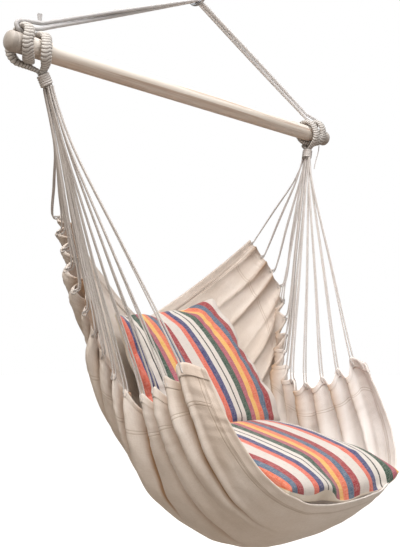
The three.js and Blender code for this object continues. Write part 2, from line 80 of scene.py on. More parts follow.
# Turned ends of the bar
BAR_DOME = 9 * MM
BAR_GROOVE = 0.6 * MM
BAR_GROOVE_INSET = 16 * MM
BAR_GROOVE_HALF = 2.4 * MM

# Served eyes and necks
EYE_THICKNESS = 12 * MM
EYE_WIDTH = 22 * MM
EYE_SLACK = 0.9 * MM
INNER_TURN_SLACK = 2.6 * MM
CROSSING_SLACK = 1 * MM
TURN_SPACING = 38 * MM
FIT = 0.3 * MM
KNOT_X = {"left": -451 * MM, "right": 434 * MM}
TOP_LEAN = {"left": 0.2, "right": 0.15}
NECK_TOP_X = {"left": -421 * MM, "right": 418 * MM}
NECK_BOTTOM_X = {"left": -407 * MM, "right": 412 * MM}
NECK_TOP_DROP = 43 * MM
NECK_BOTTOM_DROP = 68.6 * MM
WHIPPING_DROP = 46.5 * MM
LEG_THICKNESS = 8 * MM
LEG_WIDTH = 16 * MM
LEG_PARTING = 1 * MM
LEG_RUN = 32 * MM
TWINE = 3 * MM
TWINE_PITCH = 3.5 * MM
TWINE_TURNS = 6
WHIP_PITCH = 4.6 * MM
SERVING_PITCH = 6 * MM
TAIL_THREAD = 2.6 * MM
TAIL_LAY = 7 * MM

# Cords between neck and canvas
CORD = 3.7 * MM
CORD_LAY = 13 * MM
CORDS_PER_SIDE = 14
CORD_SPACING = 3.4 * MM
CORD_ROW_GAP = 4.4 * MM
CORD_START = 2.4 * MM
CORD_TUCK = 4 * MM
CORD_HALVES = 0.44 * CORD
GATHER_RUN = {"left": 105 * MM, "right": 60 * MM}
GATHER_SHARE = {"left": 0.55, "right": 0.35}
MOUTH_HALVES = 0.48 * CORD
CLOTH_GAP = 3.38 * MM
TAB_RUN = 13 * MM
HOLE_RUN = 3 * MM
EYELET_RADIUS = 4.2 * MM
EYELET_THREAD = 1.2 * MM
EYELET_LAY = 5 * MM
BACK_MARGIN = 0.012
FRONT_MARGIN = 0.075

# Canvas
SLING_HALF_WIDTH = 322 * MM
SLING_REACH = 402 * MM
SLING_DROP = 950 * MM
CANVAS = 1.6 * MM
FOLD_DEPTH = 9 * MM
FOLDS_PER_SIDE = 5
PLEAT_DEPTH = 20 * MM
TAB_SHARE = 0.05
EYELET_SHARE = 0.015
CURL = 7 * MM
SIDE_BAND = 78 * MM
HEM_BAND = 28 * MM
SIDE_LIP = 9 * MM
HEM_CLOTH = 0.8 * MM
HEM_STAND = CANVAS / 2 + 0.75 * MM
LIP_STAND = 2.6 * MM
EDGE_ROUNDING = 0.9 * MM
STITCH_LINES = [
    ("side_reach", SIDE_BAND), ("side_reach", SIDE_BAND - 6 * MM), ("hem_reach", HEM_BAND - 3 * MM),
]
CLOTH_LENGTH = 1.05
CLOTH_HALF_WIDTH = 0.47
SIDE_WRINKLE = 1.1 * MM
SLOW_WAVE = 2.4 * MM
FINE_WAVE = 1.2 * MM
SLING_MAP = (0.95, 1.1)
SLING_CELLS = {"across": 200, "along": 236}
HEM_CELLS = {"round": 28, "hem": 260, "lip": 520}
RIGHT_PLEATS = 0.72
LONG_RUN = 0.93
LONG_SIZE = 1.15
LONG_CREASES = {-1: (4, 7, 9, 11, 13), 1: (3, 5, 8, 10)}
# Gaps between cords where a dark line of painted shade runs down the middle of the pleat
CREASE_SHADE_LINES = {-1: (10, 13), 1: ()}

# Cushions: middles are shares of the sling's reach and drop, leans, rolls and turns are in degrees,
# and shifts, sags, stripe starts and front drops in millimetres
CUSHION_WIDTH = 350 * MM
CUSHION_LENGTH = 342 * MM
CUSHION_CELLS = 66
FACE_CROWN = 56 * MM
REAR_CROWN = 34 * MM
CROWN_MARGIN = 2 * MM
SEWN_SHARE = 1.07
FIRST_DOME = 12
FIRST_JITTER = 1.2
CLOTH_STEPS = 24
STRIPE_UNIT = 174 * MM
BULGE = 0.085
FULLNESS = 0.72
CUSHIONS = {
    "back": {"shift": 27, "middle": (0.058, -0.65), "lean": 66, "roll": -11, "turn": 4.5, "sag": (20, 50),
             "front": (0, 0), "nose": 0, "corner": 0.07, "stripes": -28, "evened": 1, "seed": 3},
    "seat": {"shift": 0, "middle": (-0.545, -0.8115), "lean": 10.5, "roll": 2.5, "turn": 0, "sag": (28, 10),
             "front": (8, 8), "nose": 0.24, "corner": 0.05, "stripes": 47, "evened": 30, "seed": 8},
}

# Camera, lamps and stage
CAMERA_PLACE = (-1.2457, -1.2155, -0.8198)
CAMERA_TILT = 4.73
CAMERA_TURN = -45.87
FOCAL_PIXELS = 781.8
IMAGE_HEIGHT = 547
LAMPS = [
    ("ceiling_lamp", (-0.6, -0.95, 1.8), None, 2.3, 86, (1, 0.998, 0.995)),
    ("key_lamp", (-2.2, -0.6, 1.5), None, 1.3, 42, (1, 0.93, 0.85)),
    ("front_lamp", (-0.7, -2.2, -0.2), (0.2, 0, -0.2), 1.2, 10, (1, 1, 1)),
    ("rear_lamp", (1.5, 1.5, 1.0), None, 1.8, 14, (1, 1, 1)),
]
ROOM_COLOUR = (1, 0.88, 0.77, 1)
ROOM_STRENGTH = 0.22
WHITE = (1, 1, 1, 1)
FLOOR_COLOUR = (0.42, 0.37, 0.32, 1)
FLOOR_GAP = 0.42
FLOOR_HALF = 14

# The bare sling: shares of its half width, reach and drop, from the back hem to the front hem
SIDE_EDGE = [
    (0.922, 0.246, -0.302), (0.994, 0.124, -0.385), (1, 0.05, -0.453), (0.941, 0.01, -0.518),
    (0.879, -0.017, -0.585), (0.817, -0.067, -0.636), (0.789, -0.119, -0.665), (0.773, -0.189, -0.68),
    (0.773, -0.259, -0.681), (0.786, -0.331, -0.672), (0.804, -0.448, -0.647), (0.832, -0.553, -0.617),
    (0.785, -0.665, -0.628),
]
MIDDLE_LINE = [
    (0, 0.46, -0.526), (0, 0.423, -0.6), (0, 0.323, -0.705), (0, 0.162, -0.821), (0, -0.037, -0.926),
    (0, -0.249, -0.993), (0, -0.485, -1), (0, -0.709, -0.974), (0, -0.883, -0.929), (0, -1, -0.882),
]
# How square its section is at the sides and on the floor, at stations from back to front
STATIONS = [0, 0.25, 0.5, 0.8, 1]
SIDE_SQUARENESS = [1.15, 1.35, 2.1, 2.7, 3]
FLOOR_SQUARENESS = [1.05, 1.2, 1.8, 2.4, 2.8]

# The loose twine tail's route below the bar's axis, in millimetres
TAIL_ROUTE = [
    (446.5, -16, -28), (445.5, -16.3, -36), (442, -16, -50), (437.5, -15.5, -62),
    (432.5, -15, -74), (428, -15, -86), (425, -15, -96),
]


# Lines and surfaces

def below_bar(points):
    """Points given from the bar's axis, moved to the frame."""
    return np.asarray(points, float) + (0, 0, BAR_Z)


def smooth_line(points, closed=False, samples=24):
    """A smooth curve through the points."""
    p = np.asarray(points, float)
    if closed:
        p = np.vstack([p[-1], p, p[:2]])
    else:
        p = np.vstack([2 * p[0] - p[1], p, 2 * p[-1] - p[-2]])
    pieces = []
    for a, b, c, d in zip(p, p[1:], p[2:], p[3:]):
        steps = [max(np.linalg.norm(n - m), 1e-9) ** 0.5 for m, n in ((a, b), (b, c), (c, d))]
        knots = np.cumsum([0] + steps)
        t = np.linspace(knots[1], knots[2], samples, endpoint=False)[:, None]

        def mix(m, n, lo, hi):
            return (m * (hi - t) + n * (t - lo)) / (hi - lo)

        ab = mix(a, b, knots[0], knots[1])
        bc = mix(b, c, knots[1], knots[2])
        cd = mix(c, d, knots[2], knots[3])
        early = mix(ab, bc, knots[0], knots[2])
        late = mix(bc, cd, knots[1], knots[3])
        pieces.append(mix(early, late, knots[1], knots[2]))
    return np.vstack(pieces + [p[-2]])


def length_of(line):
    return float(np.linalg.norm(np.diff(line, axis=0), axis=1).sum())


def at(line, share):
    """Points of a line at shares of its length."""
    steps = np.linalg.norm(np.diff(line, axis=0), axis=1)
    reach = np.concatenate([[0], np.cumsum(steps)])
    where = np.asarray(share) * reach[-1]
    return np.stack([np.interp(where, reach, line[:, k]) for k in range(3)], axis=-1)


def smooth(value):
    share = np.clip(value, 0, 1)
    return share * share * (3 - 2 * share)


def rise(value, start, span):
    """Goes smoothly from 0 at the start to 1 past the span."""
    return smooth((value - start) / span)


def fall(value, end, span):
    """Goes smoothly from 1 before the span to 0 at the end."""
    return smooth((end - value) / span)


def unit(vectors):
    return vectors / np.maximum(np.linalg.norm(vectors, axis=-1, keepdims=True), 1e-12)


# Pieces

def settle(bm, name, material, body, replaced=()):
    """Makes the finished mesh a piece that rides on its body."""
    mesh = bpy.data.meshes.new(name)
    bm.to_mesh(mesh)
    bm.free()
    mesh.shade_smooth()
    piece = bpy.data.objects.new(name, mesh)
    bpy.context.scene.collection.objects.link(piece)
    mesh.materials.append(material)
    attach(piece, body)
    if replaced:
        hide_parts(*replaced)
    return piece


def formed_grid(across, along, place, size, wrap=False, capped=False):
    """A grid whose points and groove shade values are set by place(u, v); the groove shade value says how
    much painted shade a point gets. Its UV map is in metres, from size.
    """
    bm = bmesh.new()
    uv = bm.loops.layers.uv.new("cloth")
    bmesh.ops.create_grid(bm, x_segments=across, y_segments=along, size=0.5, calc_uvs=True)
    spots = np.array([v.co.xy for v in bm.verts]) + 0.5
    points, groove_shade = place(spots[:, 0], spots[:, 1])
    layer = bm.verts.layers.float.new("groove_shade")
    for k, vert in enumerate(bm.verts):
        vert.co = points[k]
        vert[layer] = groove_shade[k]
    for face in bm.faces:
        for corner in face.loops:
            corner[uv].uv = (corner[uv].uv.x * size[0], corner[uv].uv.y * size[1])
    if wrap:
        bmesh.ops.remove_doubles(bm, verts=bm.verts, dist=1e-6)
        if capped:
            bmesh.ops.holes_fill(bm, edges=[e for e in bm.edges if e.is_boundary])
        bmesh.ops.recalc_face_normals(bm, faces=bm.faces)
    return bm


def tube(line, side, sides, step, profile, closed=False):
    """A tube along a line. The profile gives its offsets along the side vector and square to it."""
    length = length_of(line)
    rings = max(2, round(length / step))
    shares = np.linspace(0, 1, rings + 1)
    spine = at(line, shares)
    if closed:
        ring_before, ring_after = np.roll(spine[:-1], 1, axis=0), np.roll(spine[:-1], -1, axis=0)
        tangent = unit(ring_after - ring_before)
        tangent = np.vstack([tangent, tangent[:1]])
    else:
        tangent = unit(np.gradient(spine, axis=0))
    across = np.broadcast_to(np.asarray(side, float), spine.shape)
    across = unit(across - (across * tangent).sum(1, keepdims=True) * tangent)
    up = np.cross(tangent, across)

    def place(u, v):
        ring = np.rint(v * rings).astype(int)
        angle = np.where(u > 1 - 1e-6, 0, u) * 2 * np.pi
        a, b, groove_shade = profile(angle, v * length)
        if closed:
            ring = ring % rings
        return spine[ring] + across[ring] * a[:, None] + up[ring] * b[:, None], groove_shade

    return formed_grid(sides, rings, place, (1, length), wrap=True, capped=not closed)


def laid(radius, strands, lay, depth=0.2, phase=0.0):
    """The section of a laid cord: strands twisted round each other. Its third value is the depth of the
    grooves between the strands, for painted shade there.
    """
    def profile(angle, distance):
        turn = strands / 2 * (angle - 2 * np.pi * distance / lay + phase)
        lobe = np.abs(np.cos(turn)) ** 0.8
        reach = radius * (1 - depth + depth * lobe)
        return reach * np.cos(angle), reach * np.sin(angle), 1 - lobe

    return profile


def add_parts(bm, other):
    """Joins the second bmesh into the first."""
    mesh = bpy.data.meshes.new("part")
    other.to_mesh(mesh)
    other.free()
    bm.from_mesh(mesh)
    bpy.data.meshes.remove(mesh)


def thicken(piece, thickness):
    """Gives a sheet its thickness, half to each side."""
    wall = piece.modifiers.new("cloth_thickness", "SOLIDIFY")
    wall.thickness = thickness
    wall.offset = 0


# Camera and stage

def make_camera():
    camera = bpy.data.objects.new("camera", bpy.data.cameras.new("camera"))
    bpy.context.scene.collection.objects.link(camera)
    camera.location = CAMERA_PLACE
    camera.rotation_euler = (math.radians(90 + CAMERA_TILT), 0, math.radians(CAMERA_TURN))
    camera.data.sensor_width = 36
    camera.data.lens = FOCAL_PIXELS * camera.data.sensor_width / IMAGE_HEIGHT
    bpy.context.scene.camera = camera


def make_lamp(name, place, aim, size, power, colour):
    data = bpy.data.lights.new(name, "AREA")
    data.shape = "DISK"
    data.size = size
    data.energy = power
    data.color = colour
    lamp = bpy.data.objects.new(name, data)
    lamp.location = place
    lamp.rotation_euler = (Vector(aim) - Vector(place)).to_track_quat("-Z", "Y").to_euler()
    bpy.context.scene.collection.objects.link(lamp)


def set_inputs(tree, node, inputs):
    """Each input is a plain value, or the output of another node."""
    for key, value in inputs.items():
        if isinstance(value, bpy.types.NodeSocket):
            tree.links.new(value, node.inputs[key])
        else:
            node.inputs[key].default_value = value


def add_node(tree, kind, inputs=None, **settings):
    node = tree.nodes.new("ShaderNode" + kind)
    for key, value in settings.items():
        setattr(node, key, value)
    set_inputs(tree, node, inputs or {})
    return node


def make_room():
    """Soft light from all round, with plain white behind the chair."""
    world = bpy.data.worlds.new("studio")
    bpy.context.scene.world = world
    world.use_nodes = True
    tree = world.node_tree
    plain = tree.nodes["Background"]
    set_inputs(tree, plain, {"Color": ROOM_COLOUR, "Strength": ROOM_STRENGTH})
    white = add_node(tree, "Background", {"Color": WHITE})
    path = add_node(tree, "LightPath").outputs
    seen = add_node(tree, "Math", {0: path["Is Camera Ray"], 1: path["Is Glossy Ray"]}, operation="MAXIMUM")
    mix = add_node(tree, "MixShader", {0: seen.outputs[0], 1: plain.outputs[0], 2: white.outputs[0]})
    set_inputs(tree, tree.nodes["World Output"], {0: mix.outputs[0]})


def make_floor():
    """A pale floor that throws light up at the sling, and shows as white from the camera."""
    bm = bmesh.new()
    bmesh.ops.create_grid(bm, x_segments=1, y_segments=1, size=FLOOR_HALF)
    mesh = bpy.data.meshes.new("floor")
    bm.to_mesh(mesh)
    bm.free()
    mesh.transform(Matrix.Translation((0, 0, cad_low.z - FLOOR_GAP)))
    floor = bpy.data.objects.new("floor", mesh)
    bpy.context.scene.collection.objects.link(floor)
    material = bpy.data.materials.new("pale_floor")
    material.use_nodes = True
    tree = material.node_tree
    shader = tree.nodes["Principled BSDF"]
    set_inputs(tree, shader, {"Base Color": FLOOR_COLOUR, "Roughness": 0.9})
    matt = shader.outputs[0]
    glow = add_node(tree, "Emission", {"Strength": 1})
    bright = add_node(tree, "AddShader", {0: matt, 1: glow.outputs[0]})
    seen = add_node(tree, "LightPath").outputs["Is Camera Ray"]
    mix = add_node(tree, "MixShader", {0: seen, 1: matt, 2: bright.outputs[0]})
    set_inputs(tree, tree.nodes["Material Output"], {0: mix.outputs[0]})
    mesh.materials.append(material)


def make_stage():
    bpy.context.scene.view_settings.view_transform = "Standard"
    make_room()
    make_floor()
    centre = (cad_low + cad_high) / 2
    for name, place, aim, size, power, colour in LAMPS:
        make_lamp(name, place, aim or centre, size, power, colour)


# Finishes

class Finish:
    """A material, with short calls that add nodes and link them."""

    def __init__(self, name, roughness, metallic=0.0, specular=0.3, sheen=0.0, coat=0.0):
        self.material = bpy.data.materials.new(name)
        self.material.use_nodes = True
        self.tree = self.material.node_tree
        self.shader = self.tree.nodes["Principled BSDF"]
        set_inputs(self.tree, self.shader, {
            "Roughness": roughness, "Metallic": metallic, "Specular IOR Level": specular,
            "Sheen Weight": sheen, "Coat Weight": coat})

    def add(self, kind, inputs=None, **settings):
        return add_node(self.tree, kind, inputs, **settings)

    def scaled(self, vector, scale):
        return self.add("Mapping", {"Vector": vector, "Scale": scale}).outputs[0]

    def place(self, scale=(1, 1, 1)):
        return self.scaled(self.add("TexCoord").outputs["Object"], scale)

    def cloth(self):
        return self.add("UVMap", uv_map="cloth").outputs[0]

    def parts(self, vector):
        """The vector's three numbers."""
        return self.add("SeparateXYZ", {0: vector}).outputs

    def noise(self, vector, scale, detail=3.0, roughness=0.5):
        inputs = {"Vector": vector, "Scale": scale, "Detail": detail, "Roughness": roughness}
        return self.add("TexNoise", inputs).outputs["Fac"]

    def math(self, operation, a, b=0.5, c=0.0):
        return self.add("Math", {0: a, 1: b, 2: c}, operation=operation).outputs[0]

    def attribute(self, name):
        return self.add("Attribute", attribute_name=name).outputs["Fac"]

    def range(self, value, low, high, to_low=0.0, to_high=1.0):
        inputs = {"Value": value, "From Min": low, "From Max": high, "To Min": to_low, "To Max": to_high}
        return self.add("MapRange", inputs).outputs[0]

    def mix(self, share, a, b):
        return self.add("Mix", {0: share, 6: a, 7: b}, data_type="RGBA").outputs[2]

    def steps(self, value, stops):
        """Plain colours side by side, each from its own position to the next."""
        node = self.add("ValToRGB", {0: value})
        node.color_ramp.interpolation = "CONSTANT"
        elements = node.color_ramp.elements
        while len(elements) < len(stops):
            elements.new(0.5)
        for element, (position, colour) in zip(elements, stops):
            element.position = position
            element.color = colour
        return node.outputs[0]

    def finish(self, colour, height, strength, distance, roughness=None):
        bump = self.add("Bump", {"Height": height, "Strength": strength, "Distance": distance})
        set_inputs(self.tree, self.shader, {"Base Color": colour, "Normal": bump.outputs[0]})
        if roughness is not None:
            set_inputs(self.tree, self.shader, {"Roughness": roughness})
        return self.material


def paint(red, green, blue):
    """A colour given as on a colour card, from 0 to 255, as the light that it throws back."""
    def linear(value):
        share = value / 255
        return share / 12.92 if share <= 0.04045 else ((share + 0.055) / 1.055) ** 2.4

    return (linear(red), linear(green), linear(blue), 1)


def weave(f, vector, pitch):
    """Height of a plain weave whose threads lie along the map's two directions."""
    parts = f.parts(vector)
    waves = []
    for axis, other in ((0, 1), (1, 0)):
        run = f.math("MULTIPLY", parts[axis], math.pi / pitch)
        cross = f.math("MULTIPLY", parts[other], math.pi / pitch)
        thread = f.math("ABSOLUTE", f.math("SINE", run))
        lift = f.math("MULTIPLY_ADD", f.math("SINE", cross), 0.35, 0.65)
        waves.append(f.math("MULTIPLY", thread, lift))
    return f.math("MAXIMUM", waves[0], waves[1])


def uneven_threads(f, cloth, fine, coarse):
    """Threads of both directions, some thicker and some thinner."""
    warp = f.noise(f.scaled(cloth, (fine, coarse, 1)), 1, 3, 0.6)
    weft = f.noise(f.scaled(cloth, (coarse, fine, 1)), 1, 3, 0.6)
    return f.math("ADD", warp, weft)


def cord_finish(name, light, dark, fuzz=900, strength=0.35, painted_light=None):
    """Twisted fibre. Painted shade darkens the grooves between the strands. With painted light, a cord is
    paler towards +X.
    """
    f = Finish(name, 0.9, specular=0.05, sheen=0.1)
    place = f.place()
    tone = f.range(f.noise(place, 45, 4, 0.6), 0.3, 0.7)
    pale = f.mix(tone, light, tuple(0.9 * c for c in light[:3]) + (1,))
    # Painted shade in the grooves between the strands
    groove_shade = f.range(f.attribute("groove_shade"), 0.25, 1.0)
    colour = f.mix(groove_shade, pale, dark)
    # Painted light: the cord is paler towards +X, standing in for light on the rope's far leg
    if painted_light:
        colour = f.mix(f.range(f.parts(place)[0], -0.25, 0.05), colour, painted_light)
    fibre = f.noise(place, fuzz, 3, 0.7)
    return f.finish(colour, fibre, strength, 0.4 * MM)


def wood_finish():
    f = Finish("pale_turned_wood", 0.5, specular=0.35, coat=0.12)
    f.shader.inputs["Coat Roughness"].default_value = 0.35
    grain = f.noise(f.place((2.6, 60, 60)), 1.6, 6, 0.62)
    streak = f.noise(f.place((1.8, 110, 110)), 1.0, 4, 0.6)
    cloud = f.noise(f.place((3, 9, 9)), 1.4, 3, 0.5)
    light, warm, dark = paint(236, 231, 224), paint(224, 214, 202), paint(166, 128, 102)
    underside_shade, handled = paint(200, 168, 144), paint(158, 151, 145)
    colour = f.mix(f.range(grain, 0.38, 0.68), light, warm)
    colour = f.mix(f.range(streak, 0.5, 0.58, 0, 0.5), colour, dark)
    # Painted shade: the underside is darker and redder, standing in for the shade under the bar, and the
    # ends beyond the knots are grey from handling
    along, _, height = f.parts(f.place())
    painted_shade_below = f.range(height, BAR_Z + 0.1 * BAR_RADIUS, BAR_Z - BAR_RADIUS, 0, 0.42)
    painted_shade_below = f.math("MULTIPLY", painted_shade_below, f.range(cloud, 0.35, 0.6, 0.45, 1))
    colour = f.mix(painted_shade_below, colour, underside_shade)
    ends = f.range(f.math("ABSOLUTE", along), 0.9 * BAR_HALF, 0.94 * BAR_HALF, 0, 0.8)
    colour = f.mix(ends, colour, handled)
    bump = f.math("ADD", f.math("MULTIPLY", streak, 0.6), f.math("MULTIPLY", grain, 0.4))
    return f.finish(colour, bump, 0.25, 0.3 * MM, f.range(grain, 0.3, 0.8, 0.42, 0.6))


def steel_finish():
    f = Finish("plated_steel", 0.32, metallic=1.0, specular=0.5)
    brushed = f.noise(f.place((30, 260, 260)), 9, 3, 0.6)
    cloud = f.noise(f.place(), 60, 3)
    colour = f.mix(f.range(cloud, 0.3, 0.7), paint(198, 200, 203), paint(165, 168, 172))
    return f.finish(colour, brushed, 0.12, 0.1 * MM, f.range(brushed, 0.3, 0.7, 0.24, 0.42))


def canvas_finish():
    """Natural cotton canvas. The stitch lines follow the hems, from the distances kept on the piece."""
    f = Finish("natural_canvas", 0.88, specular=0.12, sheen=0.2)
    cloth = f.cloth()
    light, cream, tan = paint(233, 225, 218), paint(222, 211, 201), paint(186, 165, 147)
    speck, thread = paint(150, 122, 92), paint(150, 124, 98)
    painted_light_far_front, painted_shade_far_back = paint(238, 236, 236), paint(150, 124, 102)
    valley_shade, crease_shade = paint(166, 128, 92), paint(84, 64, 48)
    blotch = f.noise(f.place(), 7, 4, 0.55)
    colour = f.mix(f.range(blotch, 0.35, 0.65), light, cream)
    threads = uneven_threads(f, cloth, 1500, 60)
    colour = f.mix(f.range(threads, 0.9, 1.25, 0, 0.3), colour, tan)
    specks = f.noise(cloth, 700, 2, 0.5)
    colour = f.mix(f.range(specks, 0.7, 0.78, 0, 0.5), colour, speck)
    # Painted light brightens the far front, and painted shade darkens the far back
    x, y, _ = f.parts(f.place())
    far = f.range(x, -0.1, 0.25)
    colour = f.mix(f.math("MULTIPLY", far, f.range(y, 0.02, -0.2, 0, 0.7)), colour, painted_light_far_front)
    colour = f.mix(f.math("MULTIPLY", far, f.range(y, -0.05, 0.15, 0, 0.3)), colour, painted_shade_far_back)
    # Painted shade: up to 1 the groove shade value darkens a pleat's valley, and past 1 it draws a painted
    # crease line
    groove_shade = f.attribute("groove_shade")
    colour = f.mix(f.range(groove_shade, 0.15, 0.9, 0, 0.9), colour, valley_shade)
    colour = f.mix(f.range(groove_shade, 1, 2, 0, 0.75), colour, crease_shade)
    seam = 0
    for name, place in STITCH_LINES:
        away = f.math("ABSOLUTE", f.math("SUBTRACT", f.attribute(name), place))
        seam = f.math("MAXIMUM", seam, f.range(away, 0.4 * MM, 1.5 * MM, 1, 0))
    colour = f.mix(f.math("MULTIPLY", seam, 0.36), colour, thread)
    height = f.math("ADD", weave(f, cloth, 1.1 * MM), f.math("MULTIPLY", threads, 0.8))
    height = f.math("MULTIPLY_ADD", seam, -3.5, height)
    crumple = f.noise(f.scaled(cloth, (1, 0.55, 1)), 26, 4, 0.55)
    height = f.math("MULTIPLY_ADD", crumple, 14, height)
    return f.finish(colour, height, 0.45, 0.35 * MM)


STRIPES = [
    ("white", 26, (212, 204, 198)), ("coral", 13, (214, 102, 82)), ("navy", 14, (50, 58, 110)),
    ("white", 11, (216, 210, 204)), ("black", 3, (40, 38, 42)), ("white", 11, (216, 210, 204)),
    ("green", 14, (38, 74, 60)), ("mauve", 12, (168, 82, 100)), ("yellow", 12, (226, 176, 94)),
    ("orange", 13, (218, 112, 80)), ("steel", 14, (72, 98, 124)), ("crimson", 15, (152, 42, 52)),
]


def stripe_finish(name, start):
    """Woven stripes across the cushion's width, as they lie on its sewn cover."""
    f = Finish(name, 0.86, specular=0.12, sheen=0.2)
    cloth = f.cloth()
    waver = f.noise(f.scaled(cloth, (8, 500, 1)), 1, 2, 0.5)
    sway = f.math("MULTIPLY", f.math("SUBTRACT", waver, 0.5), 1.6 * MM)
    across = f.math("ADD", f.parts(cloth)[0], sway)
    share = f.math("FRACT", f.math("DIVIDE", f.math("SUBTRACT", across, start), STRIPE_UNIT))
    total = sum(width for _, width, _ in STRIPES)
    stops, reach = [], 0
    for _, width, colour in STRIPES:
        stops.append((reach / total, paint(*colour)))
        reach += width
    colour = f.steps(share, stops)
    threads = uneven_threads(f, cloth, 1300, 70)
    colour = f.mix(f.range(threads, 0.9, 1.2, 0, 0.3), colour, paint(222, 212, 204))
    colour = f.mix(f.range(threads, 0.7, 0.95, 0.28, 0), colour, paint(60, 44, 44))
    height = f.math("ADD", weave(f, cloth, 1.2 * MM), threads)
    return f.finish(colour, height, 0.4, 0.3 * MM)


def rear_cotton_finish():
    f = Finish("cushion_rear_cotton", 0.9, specular=0.12, sheen=0.2)
    cloth = f.cloth()
    blotch = f.noise(f.place(), 18, 3)
    threads = f.noise(f.scaled(cloth, (70, 1300, 1)), 1, 3, 0.6)
    colour = f.mix(f.range(blotch, 0.35, 0.65), paint(230, 222, 210), paint(214, 203, 188))
    return f.finish(colour, f.math("ADD", weave(f, cloth, 1.2 * MM), threads), 0.35, 0.3 * MM)


# The second colour of each cord is the painted shade in its grooves
COTTON = cord_finish("cotton_cord", paint(214, 209, 206), paint(124, 112, 104))
SERVING = cord_finish("serving_twine", paint(206, 202, 198), paint(108, 98, 90), 1200)
# The hanging rope's far (+X) leg gets painted light that pales it
ROPE_FINISH = cord_finish("hanging_rope", paint(198, 197, 198), paint(190, 189, 190), 40, 0.1,
                          painted_light=paint(242, 241, 242))
WOOD = wood_finish()
STEEL = steel_finish()
CANVAS_FINISH = canvas_finish()
REAR_COTTON = rear_cotton_finish()


# The loose tail of the right whipping, hanging free

def make_tail():
    route = below_bar(np.array(TAIL_ROUTE) * MM)
    line = smooth_line(route)
    bm = tube(line, (0, 1, 0), 15, 0.5 * MM, laid(TAIL_THREAD / 2, 3, TAIL_LAY, 0.16))
    tail = settle(bm, "tail_thread", COTTON, "sling", ["right_tail_thread"])


# Hardware: ring and bar

def make_ring():
    middle = RING_INNER + RING_WIRE / 2

    def place(u, v):
        turn, angle = (2 * np.pi * np.where(share > 1 - 1e-6, 0, share) for share in (u, v))
        reach = middle + RING_WIRE / 2 * np.cos(angle)
        x = RING_WIRE / 2 * np.sin(angle)
        points = np.stack([x, reach * np.sin(turn), reach * np.cos(turn)], axis=1)
        return points - (0, 0, RING_INNER), np.zeros_like(u)

    bm = formed_grid(120, 28, place, (2 * math.pi * middle, math.pi * RING_WIRE), wrap=True)
    settle(bm, "ring", STEEL, "ring", ["hanging_ring"])
    # The closing weld, a low bead at the side of the ring
    bm = bmesh.new()
    bmesh.ops.create_uvsphere(bm, u_segments=20, v_segments=12, radius=WELD_RADIUS)
    bmesh.ops.scale(bm, vec=(1, 1, WELD_FLATNESS), verts=bm.verts)
    bmesh.ops.translate(bm, vec=(0, middle, -RING_INNER), verts=bm.verts)
    settle(bm, "ring_weld", STEEL, "ring")


def make_bar():
    """A turned bar with domed ends, and a shallow groove cut round it near each end."""
    dome_steps, groove_steps = 12, 4
    outline = [(0, 0)]
    for k in range(1, dome_steps + 1):
        angle = k / dome_steps * math.pi / 2
        outline.append((BAR_RADIUS * math.sin(angle), BAR_DOME * (1 - math.cos(angle))))
    for k in range(-groove_steps, groove_steps + 1):
        depth = BAR_GROOVE * (0.5 + 0.5 * math.cos(k / groove_steps * math.pi))
        outline.append((BAR_RADIUS - depth, BAR_GROOVE_INSET + k / groove_steps * BAR_GROOVE_HALF))
    ends = [(r, x - BAR_HALF) for r, x in outline] + [(r, BAR_HALF - x) for r, x in reversed(outline)]
    bm = bmesh.new()
    chain = [bm.verts.new((x, 0, r)) for r, x in ends]
    edges = [bm.edges.new(pair) for pair in zip(chain, chain[1:])]
    bmesh.ops.spin(bm, geom=chain + edges, cent=(0, 0, 0), axis=(1, 0, 0), angle=2 * math.pi, steps=72,
                   use_merge=True)
    bmesh.ops.remove_doubles(bm, verts=bm.verts, dist=1e-6)
    bmesh.ops.recalc_face_normals(bm, faces=bm.faces)
    bmesh.ops.translate(bm, vec=(0, 0, BAR_Z), verts=bm.verts)
    settle(bm, "turned_bar", WOOD, "bar", ["spreader_bar"])


# Rope, from the ring to the eyes and back, as one endless loop

def end_places(side):
    """The side's sign, its outer and inner turn's places along the bar and how far both lean in on top."""
    sign = -1 if side == "left" else 1
    outer, inner = KNOT_X[side] + sign * TURN_SPACING / 2, KNOT_X[side] - sign * TURN_SPACING / 2
    return sign, outer, inner, sign * TURN_SPACING * TOP_LEAN[side]


def bend(before, corner, after, radius, steps=10):
    """Points of a round bend at the corner of a line."""
    inward, outward = unit(before - corner), unit(after - corner)
    half = math.acos(float(np.clip(inward @ outward, -1, 1))) / 2
    reach = radius / math.tan(half)
    start, stop = corner + inward * reach, corner + outward * reach
    centre = corner + unit(inward + outward) * radius / math.sin(half)
    arc = []
    for k in range(steps + 1):
        ray = unit((start - centre) * (1 - k / steps) + (stop - centre) * (k / steps))
        arc.append(centre + ray * radius)
    return arc


